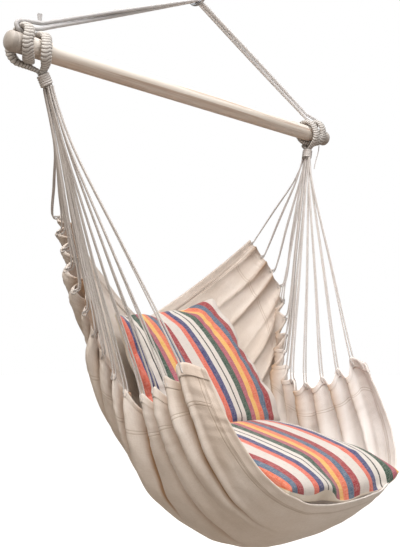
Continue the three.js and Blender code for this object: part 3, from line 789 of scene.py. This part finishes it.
def make_rope():
    strand = (ROPE + ROPE_STRAND_GAP) / 2
    apex = np.array((0, 0, ROPE_RISE))
    under = BAR_RADIUS + 2 * FIT + ROPE / 2
    over = BAR_RADIUS + EYE_SLACK + ROPE + FIT + EYE_THICKNESS + ROPE / 2 + 2 * FIT
    back = BAR_RADIUS + EYE_SLACK + INNER_TURN_SLACK + EYE_THICKNESS + ROPE / 2 + 2 * FIT
    reach = EYE_WIDTH / 2 + ROPE / 2 + CROSSING_SLACK
    upper, lower = 0.75, 0.2
    heights = {"over": over, "middle": (over + under) / 2, "under": under, "back": back}
    # Shares of the way to the inner turn and of the reach outwards, the height, and a lift in rope widths
    shares = [
        (1, 0, "over", upper), (0.5, 0, "over", 0.42), (0, 0, "over", 0.05), (0, 0.75, "over", -0.45),
        (0, 1, "middle", 0), (0, 0.75, "under", 0.4), (0, 0, "under", 0), (0, -0.8, "under", 0.4),
        (0, -1.06, "middle", -0.1), (1, 0, "back", lower),
    ]

    def hook(side):
        sign, outer, inner, lean = end_places(side)
        points = []
        for inward, out, level, lift in shares:
            x = outer - lean + inward * (inner - outer) + sign * out * reach
            points.append((x, 0, heights[level] + lift * ROPE))
        return list(smooth_line(points, samples=6))

    def leg(side, role):
        sign, _, inner, lean = end_places(side)
        foot = np.array((inner - lean, 0, (over + back + (upper + lower) * ROPE) / 2))
        line = apex - foot
        lift = np.cross(unit(line), (0, -sign, 0))
        points = []
        for share in (0.06, 0.25, 0.5, 0.75, 0.96):
            angle = share * math.pi / 2
            aside = np.array((0, -1, 0)) * math.sin(angle)
            points.append(foot + line * share + role * strand * (lift * math.cos(angle) + aside))
        return points

    def over_ring(start, stop):
        top = apex.copy()
        top[1] = (start[1] + stop[1]) / 2
        return bend(start, top, stop, ROPE_BEND)

    left_front, right_front = leg("left", 1), leg("right", 1)
    left_back, right_back = leg("left", -1), leg("right", -1)
    route = left_front + over_ring(left_front[-1], right_front[-1]) + right_front[::-1] + hook("right")
    route += right_back + over_ring(right_back[-1], left_back[-1]) + left_back[::-1] + hook("left")[::-1]
    line = smooth_line(below_bar(route), closed=True, samples=6)
    lay = length_of(line) / round(length_of(line) / ROPE_LAY)
    bm = tube(line, (0, 1, 0), 30, 1.6 * MM, laid(ROPE / 2 * 1.02, 3, lay, 0.05), closed=True)
    settle(bm, "laid_rope", ROPE_FINISH, "rope", ["hanging_rope"])


def make_rope_end():
    """The rope's cut end: short yarns that open a little, and stand in the rope with their feet."""
    low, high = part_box("rope_cut_end")
    centre = np.array(((low.x + high.x) / 2, 0, low.z))
    height = high.z - low.z
    whole = bmesh.new()
    for k in range(YARNS):
        angle = 2 * math.pi * k / YARNS
        inner = 0.26 if k % 3 == 0 else 0.62
        root = np.array((math.cos(angle), math.sin(angle), 0)) * ROPE / 2 * inner
        lean = 1.0 + 0.5 * ((k * 7) % 5) / 5
        tip = height * (0.9 + 0.1 * ((k * 3) % 4) / 4)
        points = [centre + root * 0.7 - (0, 0, ROPE), centre + root,
                  centre + root * lean + (0, 0, height * 0.5), centre + root * (lean + 0.3) + (0, 0, tip)]
        add_parts(whole, tube(smooth_line(points), (1, 0, 0), 10, 0.6 * MM, laid(YARN_RADIUS, 2, YARN_LAY)))
    settle(whole, "rope_end", ROPE_FINISH, "rope", ["rope_cut_end"])


# Served eyes

def eye_route(side):
    """Up the first leg, round the bar in an outer turn, across, round in an inner turn and down again."""
    sign, outer, inner, lean = end_places(side)
    radius = BAR_RADIUS + EYE_THICKNESS / 2 + EYE_SLACK
    lifted = radius + ROPE + FIT
    inner_radius = radius + INNER_TURN_SLACK
    under = radius + EYE_THICKNESS + FIT
    neck = (NECK_TOP_X[side] - outer) / (inner - outer)
    far, near = 0.75, 0.18
    tuck = CROSSING_SLACK
    middle = (under + radius) / 2 + FIT
    # Degrees round the bar, distance from its axis, and share of the way from outer to inner turn
    route = [
        (25, under - tuck, neck * far), (48, under - 2 * tuck, neck * near), (74, middle, 0),
        (100, radius + tuck, 0), (124, (radius + lifted) / 2, 0), (150, lifted, 0), (180, lifted, 0),
        (210, lifted, 0), (236, (radius + lifted) / 2, 0), (264, radius, 0), (300, radius, 0.08),
        (330, radius, 0.26), (360, radius, 0.5), (390, radius, 0.74), (420, radius, 0.92),
        (460, inner_radius, 1), (500, inner_radius, 1), (540, inner_radius, 1), (580, inner_radius, 1),
        (615, inner_radius, 1), (646, middle, 1), (672, under - 2 * tuck, 1 - (1 - neck) * near),
        (695, under - tuck, 1 - (1 - neck) * far),
    ]
    turns = []
    for degrees, reach, share in route:
        angle = math.radians(degrees)
        turns.append((outer + share * (inner - outer) - lean * max(0, -math.cos(angle)),
                      reach * math.sin(angle), -reach * math.cos(angle)))
    leg_y = LEG_THICKNESS / 2 + LEG_PARTING
    top, bottom = NECK_TOP_X[side], NECK_BOTTOM_X[side]
    middle_drop = (NECK_TOP_DROP + NECK_BOTTOM_DROP) / 2
    legs = [(bottom, NECK_BOTTOM_DROP), ((top + bottom) / 2, middle_drop), (top, NECK_TOP_DROP)]
    start = [(x, leg_y, -drop) for x, drop in legs]
    stop = [(x, -leg_y, -drop) for x, drop in reversed(legs)]
    return smooth_line(below_bar(start + turns + stop), samples=16)


def make_eye(side):
    """Two turns round the bar, served with twine in two rows of hitches that meet along the turn's back."""
    line = eye_route(side)
    length = length_of(line)

    def profile(angle, distance):
        from_end = np.minimum(distance, length - distance)
        grown = rise(from_end, LEG_RUN, LEG_RUN)
        width = LEG_WIDTH + grown * (EYE_WIDTH - LEG_WIDTH)
        height = LEG_THICKNESS + grown * (EYE_THICKNESS - LEG_THICKNESS)
        row = np.tanh(np.cos(angle) / 0.2)
        hitch = np.abs(np.sin(np.pi * (distance / SERVING_PITCH + 0.2 * row + 0.14 * np.sin(2 * angle))))
        ridge = hitch ** 0.6
        waist = np.exp(-((np.cos(angle) / 0.16) ** 2)) * 0.08 * grown
        swell = 0.86 + 0.2 * ridge - waist
        a = width / 2 * np.cos(angle) * swell
        b = height / 2 * np.sin(angle) * swell
        # The third value puts painted shade between the hitches and along the waist where the two rows meet
        return a, b, np.clip((1 - ridge) ** 1.2 * 1.3 + waist * 1.5, 0, 1)

    bm = tube(line, (1, 0, 0), 40, 0.6 * MM, profile)
    settle(bm, side + "_served_eye", SERVING, "sling", [side + "_cord_eye"])


def whip_section(angle, distance):
    """A soft twine pressed flat on the neck. Its flanks lie in the shade of the next turn."""
    lobe = np.abs(np.cos(angle))
    return WHIP_PITCH * 0.5 * np.cos(angle), TWINE * 0.62 * np.sin(angle), np.clip(lobe ** 4, 0, 1)


def make_whipping(side):
    """Twine wound round the two legs of the neck."""
    top = np.array((NECK_TOP_X[side], 0, -NECK_TOP_DROP))
    bottom = np.array((NECK_BOTTOM_X[side], 0, -NECK_BOTTOM_DROP))
    axis = unit(bottom - top)
    third = np.cross(axis, (0, 1, 0))
    start = top + axis * (WHIPPING_DROP - NECK_TOP_DROP)
    radius = math.hypot(LEG_WIDTH / 2, LEG_THICKNESS / 2 + LEG_PARTING) + TWINE / 2
    points = []
    steps = 40
    whole = TWINE_TURNS * TWINE_PITCH
    turns = round(whole / WHIP_PITCH)
    for k in range(turns * steps + 1):
        angle = 2 * math.pi * k / steps
        round_neck = np.array((0, 1, 0)) * radius * math.cos(angle) + third * radius * math.sin(angle)
        points.append(start + axis * whole * k / steps / turns + round_neck)
    bm = tube(below_bar(points), axis, 16, 0.9 * MM, whip_section)
    settle(bm, side + "_whipping", COTTON, "sling", [side + "_neck_whipping"])


# Canvas sling

def sling_line(shares):
    return smooth_line(below_bar(np.array(shares) * (SLING_HALF_WIDTH, SLING_REACH, SLING_DROP)))


EDGE_LINE = sling_line(SIDE_EDGE)
MIDDLE = sling_line(MIDDLE_LINE)


def bare_canvas(along, across):
    """The canvas without folds: along from the back hem to the front hem, across from -1 to 1."""
    edge, middle = at(EDGE_LINE, along), at(MIDDLE, along)
    angle = across * np.pi / 2
    spread = np.sign(angle) * np.abs(np.sin(angle)) ** (2 / np.interp(along, STATIONS, SIDE_SQUARENESS))
    depth = np.abs(np.cos(angle)) ** (2 / np.interp(along, STATIONS, FLOOR_SQUARENESS))
    points = edge + (middle - edge) * depth[..., None]
    points[..., 0] = edge[..., 0] * spread
    return points


def canvas_normal(along, across):
    step = 0.01
    a = bare_canvas(np.minimum(1, along + step), across) - bare_canvas(np.maximum(0, along - step), across)
    b = bare_canvas(along, np.minimum(1, across + step)) - bare_canvas(along, np.maximum(-1, across - step))
    return unit(np.cross(b, a))


def ripple(along, across, seed, waves):
    """A sum of slow waves at seeded angles, from -1 to 1."""
    draw = np.random.default_rng(seed)
    total = np.zeros_like(along)
    for size in waves:
        angle, phase = draw.uniform(0, np.pi), draw.uniform(0, 2 * np.pi)
        way = along * math.cos(angle) + across * 0.45 * math.sin(angle)
        total += np.sin(2 * np.pi * way * size + phase)
    return total / len(waves)


PLEAT_SPOTS = np.arange(CORDS_PER_SIDE + 3)


def drawn(seed, ranges):
    """Random tables for the pleats of each side, one value for each gap between two cords."""
    draw = np.random.default_rng(seed)
    return {sign: {name: draw.uniform(*span, len(PLEAT_SPOTS)) for name, span in ranges.items()}
            for sign in (-1, 1)}


PLEATS = drawn(21, {"size": (0.75, 1.35), "run": (0.4, 0.7), "place": (0.36, 0.64), "notch": (0.45, 1.25),
                    "curl": (-1, 1), "drift": (-0.5, 0.5)})
PLEATS[1]["size"] *= RIGHT_PLEATS
for sign in (-1, 1):
    for gap in LONG_CREASES[sign]:
        PLEATS[sign]["run"][gap] = LONG_RUN
        PLEATS[sign]["size"][gap] *= LONG_SIZE
    PLEATS[sign]["crease_shade"] = np.isin(PLEAT_SPOTS, CREASE_SHADE_LINES[sign]).astype(float)


def from_table(sign, name, where):
    """The pleats' value at a place counted in cords, blended from each to the next."""
    left, right = (np.interp(where, PLEAT_SPOTS, PLEATS[key][name]) for key in (-1, 1))
    return np.where(sign < 0, left, right)


def canvas_at(along, across, offset=0.0):
    """The folded canvas, pulled into a tab at each cord. Also gives how much painted shade each point gets:
    how deep in a fold it lies, plus the painted crease lines.
    """
    side, sign = np.abs(across), np.where(across < 0, -1, 1)
    # The place counted in cords. Pleats wander away from the cords as they run down the cloth
    count = (along - BACK_MARGIN) / (1 - BACK_MARGIN - FRONT_MARGIN) * (CORDS_PER_SIDE - 1)
    leaning = count + from_table(sign, "drift", count + 1) * fall(side, 0.86, 0.5)
    gap = np.floor(leaning)
    share = leaning - gap
    deepest = np.round(from_table(sign, "place", np.clip(gap + 1, 0, None)), 6)
    share = np.where(share < deepest, share / deepest / 2, 0.5 + (share - deepest) / (1 - deepest) / 2)
    before_corner = fall(leaning, CORDS_PER_SIDE - 1, 0.3)
    ends = rise(along, 0, 0.03) * fall(along, 1, 0.05)
    # Between two cords the edge is notched, so that a tab stands at each cord
    dip = np.sin(np.pi * share) * before_corner
    notch = TAB_SHARE * from_table(sign, "notch", gap + 1) * dip ** 2.4 * rise(side, 0.84, 0.16)
    pulled = across - sign * notch * (0.3 + 0.7 * ends)
    # Long slow folds
    gather = rise(side, 0.3, 0.4) * (1 - 0.6 * rise(side, 0.85, 0.15))
    wave = np.cos(2 * np.pi * FOLDS_PER_SIDE * along - 1)
    lift = FOLD_DEPTH * gather * wave * np.sin(np.pi * np.clip(along, 0, 1))
    # Pleats, sharper towards the gathered edge
    size, run = from_table(sign, "size", leaning + 0.5), from_table(sign, "run", leaning + 0.5)
    sharp = 0.28 + 0.5 * rise(side, 0.7, 0.25)
    pipe = 2 * np.abs(np.cos(np.pi * share)) ** sharp - 1
    pipe = 0.4 + (pipe - 0.4) * before_corner
    reach = rise(side, 1 - run, run) ** 0.9
    depth = PLEAT_DEPTH * size * reach * (1 - 0.2 * rise(side, 0.93, 0.07)) * ends
    lift = lift + depth * (pipe - 0.2)
    # Each tab's lip rolls over to one face
    tip = np.clip((side - 0.955) / 0.045, 0, 1) ** 2
    curl = from_table(sign, "curl", count + 0.5)
    lift = lift + CURL * tip * np.sign(curl) * np.abs(curl) ** 0.5 * (1 - 0.5 * dip)
    # Small wrinkles run across the pleats, and slow waves over the whole cloth
    band = rise(side, 0.72, 0.12) * fall(side, 1.01, 0.05)
    lift = lift + SIDE_WRINKLE * band * ripple(along * 0.6, across * 3.4, 9, (13, 17, 22, 27))
    lift = lift + SLOW_WAVE * ripple(along, across, 5, (5, 7, 9, 12)) * rise(side, 0.05, 0.3)
    lift = lift + FINE_WAVE * ripple(along, across * 0.6, 6, (17, 23, 29, 31))
    points = bare_canvas(along, pulled) + canvas_normal(along, pulled) * (lift + offset)[..., None]
    # How much painted shade darkens each point, deepest in the pleats' valleys
    valley_shade = np.clip(reach ** 0.6 * size * (1 - pipe) / 2, 0, 1)
    # A painted crease line: a dark stripe of painted shade down the middle of some pleats
    crease_shade = from_table(sign, "crease_shade", np.clip(gap + 1, 0, None)) * rise(side, 0.35, 0.25)
    crease_shade = crease_shade * fall(side, 0.93, 0.1) * np.exp(-((share - 0.5) / 0.07) ** 2)
    return points, valley_shade + crease_shade


def spread_across(u):
    """Columns lie closer together near the gathered edges."""
    s = 2 * u - 1
    return np.sign(s) * (1 - (1 - np.abs(s)) ** 1.25)


def keep_distances(piece, values):
    """Keeps the distances from the edges on the piece, for the stitch lines."""
    for name, numbers in values.items():
        layer = piece.data.attributes.new(name, "FLOAT", "POINT")
        layer.data.foreach_set("value", np.asarray(numbers, np.float32))


def edge_reaches(rows, columns):
    """For a grid of points, how far each lies from the side edge and from the nearer hem."""
    along, across = np.meshgrid(rows, columns, indexing="ij")
    spots = bare_canvas(along.ravel(), across.ravel()).reshape(along.shape + (3,))
    reaches = []
    for axis in (1, 0):
        steps = np.linalg.norm(np.diff(spots, axis=axis), axis=2)
        ahead = np.cumsum(steps, axis=axis)
        before = np.insert(ahead, 0, 0, axis=axis)
        whole = np.take(ahead, [-1], axis=axis)
        reaches.append(np.minimum(before, whole - before).ravel())
    return reaches


def make_sling():
    columns, rows = SLING_CELLS["across"], SLING_CELLS["along"]

    def place(u, v):
        return canvas_at(v, spread_across(u))

    bm = formed_grid(columns, rows, place, SLING_MAP)
    bmesh.ops.reverse_faces(bm, faces=bm.faces)
    sling = settle(bm, "canvas", CANVAS_FINISH, "sling", ["canvas_sling"])
    side, hem = edge_reaches(np.linspace(0, 1, rows + 1), spread_across(np.linspace(0, 1, columns + 1)))
    keep_distances(sling, {"side_reach": side, "hem_reach": hem})
    thicken(sling, CANVAS)
    return sling


def make_band(name, lie, band, steps, stand):
    """Cloth folded over an edge, on both faces of the canvas. lie(run, away) gives along and across."""
    kept = {}

    def place(u, v):
        turn = 2 * u - 1
        away = band * np.abs(turn) ** 1.3
        rounding = np.clip(turn * 6, -1, 1)
        points, valley_shade = canvas_at(*lie(v, away), np.sin(rounding * np.pi / 2) * stand)
        out = unit(canvas_at(*lie(v, 0 * away))[0] - canvas_at(*lie(v, 0 * away + 4 * MM))[0])
        points = points + out * (EDGE_ROUNDING * (1 - np.abs(rounding)))[:, None]
        kept.update(side_reach=np.full_like(u, 1.0), hem_reach=away)
        return points, valley_shade

    bm = formed_grid(HEM_CELLS["round"], steps, place, (band * 2, 0.9))
    piece = settle(bm, name, CANVAS_FINISH, "sling")
    keep_distances(piece, kept)
    thicken(piece, HEM_CLOTH)
    return piece


def make_hems():
    """Hems over the front and back edges, and narrow lips along the gathered sides."""
    def front(run, away):
        return 1 - away / CLOTH_LENGTH, (2 * run - 1) * 0.999

    def rear(run, away):
        return away / CLOTH_LENGTH, (2 * run - 1) * 0.999

    def left(run, away):
        return run, -(1 - away / CLOTH_HALF_WIDTH)

    def right(run, away):
        return run, 1 - away / CLOTH_HALF_WIDTH

    hems = [make_band(name, lie, HEM_BAND, HEM_CELLS["hem"], HEM_STAND)
            for name, lie in (("front_hem", front), ("back_hem", rear))]
    return hems + [make_band(name, lie, SIDE_LIP, HEM_CELLS["lip"], LIP_STAND)
                   for name, lie in (("left_side_lip", left), ("right_side_lip", right))]


def eyelet_frame(sign, k):
    """Middle of a tab's eyelet, the cloth's outward normal there and the way to the tab's tip."""
    along = np.array([BACK_MARGIN + k / (CORDS_PER_SIDE - 1) * (1 - BACK_MARGIN - FRONT_MARGIN)])
    across = np.array([sign * (1 - EYELET_SHARE)])
    centre = canvas_at(along, across)[0][0]
    tip = canvas_at(along, np.array([sign * 1.0]))[0][0]
    normal = canvas_normal(along, across)[0]
    out = unit(tip - centre)
    return centre, unit(normal - out * (normal @ out)), out


def make_eyelets(side):
    """A worked eyelet in each tab: on each face a ring of thread, round the hole for the cord."""
    sign = -1 if side == "left" else 1
    corners = 24
    whole = bmesh.new()
    for k in range(CORDS_PER_SIDE):
        centre, normal, out = eyelet_frame(sign, k)
        third = np.cross(normal, out)
        points = []
        for step in range(corners):
            angle = 2 * math.pi * step / corners
            points.append(centre + (out * math.cos(angle) + third * math.sin(angle)) * EYELET_RADIUS)
        line = smooth_line(points, closed=True, samples=3)
        section = laid(EYELET_THREAD, 2, EYELET_LAY, 0.25)
        for face in (1, -1):
            ring = line + normal * face * CANVAS * 0.6
            add_parts(whole, tube(ring, normal, 8, 1.2 * MM, section, closed=True))
    settle(whole, side + "_eyelets", COTTON, "sling")


# Cords: each is doubled, looped through its tab's eyelet

def cord_start(side, k):
    """Where a cord leaves the neck. They stand there in two rows, alternately nearer and farther."""
    sign = -1 if side == "left" else 1
    column = k // 2 - (CORDS_PER_SIDE / 2 - 1) / 2
    row = 1 if k % 2 == 0 else -1
    ridge = (k * 5 % 3 - 1) * 0.4 * CORD
    return (NECK_BOTTOM_X[side] + sign * row * (CORD_ROW_GAP / 2 + ridge),
            (row * 0.12 - column) * CORD_SPACING * 1.1, -(NECK_BOTTOM_DROP + CORD_START))


def doubled_route(start, knee, hole, normal, out):
    """Down one half of the cord, through the hole in its tab and back up along the other half."""
    aside = unit(np.cross(unit(hole - start), normal))
    tip = hole + out * TAB_RUN
    halves = []
    for half in (1, -1):
        apart, mouth = half * aside * CORD_HALVES, half * aside * MOUTH_HALVES
        off = half * normal * CLOTH_GAP
        halves.append([start + (0, 0, CORD_TUCK) + apart * 0.2, start + apart * 0.2, knee + apart * 0.5,
                       (knee + tip) / 2 + apart, tip + apart + off, hole + out * HOLE_RUN + off + mouth])
    return halves[0] + [hole] + halves[1][::-1]


def make_cords(side):
    """The cords run close together below the neck, and part one by one on their way to the tabs."""
    sign = -1 if side == "left" else 1
    starts = below_bar([cord_start(side, k) for k in range(CORDS_PER_SIDE)])
    ends = [eyelet_frame(sign, k) for k in range(CORDS_PER_SIDE)]
    hub = starts.mean(0)
    mean_way = unit(np.mean([hole for hole, _, _ in ends], axis=0) - hub)
    gather, cling = GATHER_RUN[side], GATHER_SHARE[side]
    for k, (start, (hole, normal, out)) in enumerate(zip(starts, ends)):
        way = unit(hole - start)
        free = start + way * gather / max(way @ mean_way, 0.5)
        clung = hub + mean_way * gather + (start - hub) * 0.9
        knee = free * (1 - cling) + clung * cling
        line = smooth_line(doubled_route(start, knee, hole, normal, out), samples=14)
        bm = tube(line, (0, 1, 0), 9, 2.3 * MM, laid(CORD / 2, 3, CORD_LAY, 0.22, phase=k))
        name, node = f"{side}_twisted_cord_{k + 1:02d}", f"{side}_cord_{k + 1:02d}"
        settle(bm, name, COTTON, "sling", [node])


# Cushions

def cushion_frame(name):
    facts = CUSHIONS[name]
    reach, drop = facts["middle"]
    middle = np.array((facts["shift"] * MM, reach * SLING_REACH, drop * SLING_DROP + BAR_Z))
    lean, roll = math.radians(facts["lean"]), math.radians(facts["roll"])
    up = np.array((0, math.cos(lean), math.sin(lean)))
    face = np.cross((1, 0, 0), up)
    foot_sag, top_sag = (value * MM for value in facts["sag"])

    def place(local):
        height = local[:, 2]
        x = local[:, 0] * math.cos(roll) + local[:, 1] * math.sin(roll)
        y = local[:, 1] * math.cos(roll) - local[:, 0] * math.sin(roll)
        share = 0.5 + y / CUSHION_LENGTH
        sag = (foot_sag + (top_sag - foot_sag) * share) * (1 - (x / (CUSHION_WIDTH / 2)) ** 2)
        points = middle + up * y[:, None] + face * (height - sag)[:, None]
        points[:, 0] += x
        # The cushion is turned a little on its foot, and its front hangs over the hem
        points[:, 1] -= x * math.tan(math.radians(facts["turn"]))
        fallen = np.clip(-y / (CUSHION_LENGTH / 2), 0, 1.2) ** 2
        points -= fallen[:, None] * np.array((0, *facts["front"])) * MM
        return points

    return place


def pillow(seed):
    """Two sheets sewn round the edge and blown up as cloth. Gives the mesh in the cushion's own frame."""
    width, length = CUSHION_WIDTH * SEWN_SHARE, CUSHION_LENGTH * SEWN_SHARE
    bm = bmesh.new()
    uv = bm.loops.layers.uv.new("cloth")
    rear_mark = bm.faces.layers.int.new("rear")
    for rear in (False, True):
        made = bmesh.ops.create_grid(bm, x_segments=CUSHION_CELLS, y_segments=CUSHION_CELLS, size=0.5,
                                     calc_uvs=True)
        fresh = set(made["verts"])
        faces = [face for face in bm.faces if face.verts[0] in fresh]
        for vert in fresh:
            x, y = vert.co.x * 2, vert.co.y * 2
            dome = ((1 - x * x) * (1 - y * y)) ** 0.5 * FIRST_DOME * MM
            jitter = FIRST_JITTER * MM * math.sin(9 * x + seed) * math.sin(11 * y + 2 * seed)
            bulged_x = x * (1 + BULGE * (1 - y * y)) * width / 2
            bulged_y = y * (1 + BULGE * (1 - x * x)) * length / 2
            vert.co = (bulged_x, bulged_y, (-dome if rear else dome) + jitter * (dome > 0))
        for face in faces:
            face[rear_mark] = int(rear)
            for corner in face.loops:
                u, v = corner[uv].uv
                corner[uv].uv = ((u - 0.5) * CUSHION_WIDTH, (v - 0.5) * CUSHION_LENGTH)
        if rear:
            bmesh.ops.reverse_faces(bm, faces=faces)
    bmesh.ops.remove_doubles(bm, verts=bm.verts, dist=1e-6)
    mesh = bpy.data.meshes.new("pillow")
    bm.to_mesh(mesh)
    bm.free()
    piece = bpy.data.objects.new("pillow", mesh)
    bpy.context.scene.collection.objects.link(piece)
    blow_up(piece)
    return piece


def blow_up(piece):
    """Presses the two sheets apart from inside, and keeps the shape that they take."""
    scene = bpy.context.scene
    cloth = piece.modifiers.new("cloth", "CLOTH")
    settings = cloth.settings
    settings.quality = 6
    settings.mass = 0.25
    settings.tension_stiffness = 40
    settings.compression_stiffness = 40
    settings.shear_stiffness = 12
    settings.bending_stiffness = 0.15
    settings.use_pressure = True
    settings.uniform_pressure_force = 5
    settings.effector_weights.gravity = 0
    settings.air_damping = 5
    cloth.point_cache.frame_start = 1
    cloth.point_cache.frame_end = CLOTH_STEPS
    for step in range(1, CLOTH_STEPS + 1):
        scene.frame_set(step)
    depsgraph = bpy.context.evaluated_depsgraph_get()
    count = len(piece.data.vertices)
    swollen = np.zeros(count * 3, np.float32)
    piece.evaluated_get(depsgraph).data.vertices.foreach_get("co", swollen)
    piece.modifiers.clear()
    piece.data.vertices.foreach_set("co", swollen)
    scene.frame_set(1)


def even_seam(piece, half, passes):
    """Smooths the puckers near the seam."""
    bm = bmesh.new()
    bm.from_mesh(piece.data)
    near = [v for v in bm.verts if max(abs(v.co.x) / half[0], abs(v.co.y) / half[1]) > 0.7]
    for _ in range(passes):
        bmesh.ops.smooth_vert(bm, verts=near, factor=0.5, use_axis_x=True, use_axis_y=True, use_axis_z=True)
    bm.to_mesh(piece.data)
    bm.free()


def make_cushion(name):
    facts = CUSHIONS[name]
    piece = pillow(facts["seed"])
    half = np.array((CUSHION_WIDTH / 2, CUSHION_LENGTH / 2))
    even_seam(piece, half, facts["evened"])
    mesh = piece.data
    count = len(mesh.vertices)
    local = np.zeros(count * 3, np.float32)
    mesh.vertices.foreach_get("co", local)
    local = local.reshape(-1, 3).astype(float)
    local[:, :2] *= half * 0.985 / np.abs(local[:, :2]).max(0)
    top, bottom = local[:, 2].max(), -local[:, 2].min()
    # The face stands fuller towards the front
    height = local[:, 2]
    nose = facts["nose"] * rise(-local[:, 1] / half[1], 0.1, 0.6)
    face = (FACE_CROWN - CROWN_MARGIN) * (np.clip(height, 0, top) / top) ** (FULLNESS - nose)
    rear = (REAR_CROWN - CROWN_MARGIN) * (np.clip(-height, 0, bottom) / bottom) ** (FULLNESS + nose)
    local[:, 2] = np.where(height > 0, face, -rear)
    local[:, :2] *= 1 + facts["corner"] * np.prod((local[:, :2] / half) ** 2, axis=1, keepdims=True)
    points = cushion_frame(name)(local)
    mesh.vertices.foreach_set("co", points.astype(np.float32).ravel())
    mesh.materials.append(stripe_finish(name + "_stripes", stripe_start(facts)))
    mesh.materials.append(REAR_COTTON)
    rear_marks = mesh.attributes["rear"].data
    for polygon in mesh.polygons:
        polygon.material_index = rear_marks[polygon.index].value
    mesh.shade_smooth()
    piece.name = name + "_cushion"
    fine = piece.modifiers.new("fine_cloth", "SUBSURF")
    fine.levels = fine.render_levels = 1
    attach(piece, name + "_cushion")
    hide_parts(name + "_cushion_cover", name + "_cushion_filling", name + "_cushion_zip")


def stripe_start(facts):
    """Where a stripe unit begins, from the cushion's middle."""
    edge = facts["stripes"] * MM
    return CUSHION_WIDTH / 2 + edge if edge < 0 else edge - CUSHION_WIDTH / 2


# Making

make_camera()
make_tail()
make_stage()
make_ring()
make_bar()
make_rope()
make_rope_end()
for side in ("left", "right"):
    make_eye(side)
    make_whipping(side)
    make_cords(side)
    make_eyelets(side)
sling = make_sling()
hems = make_hems()
for name in CUSHIONS:
    make_cushion(name)
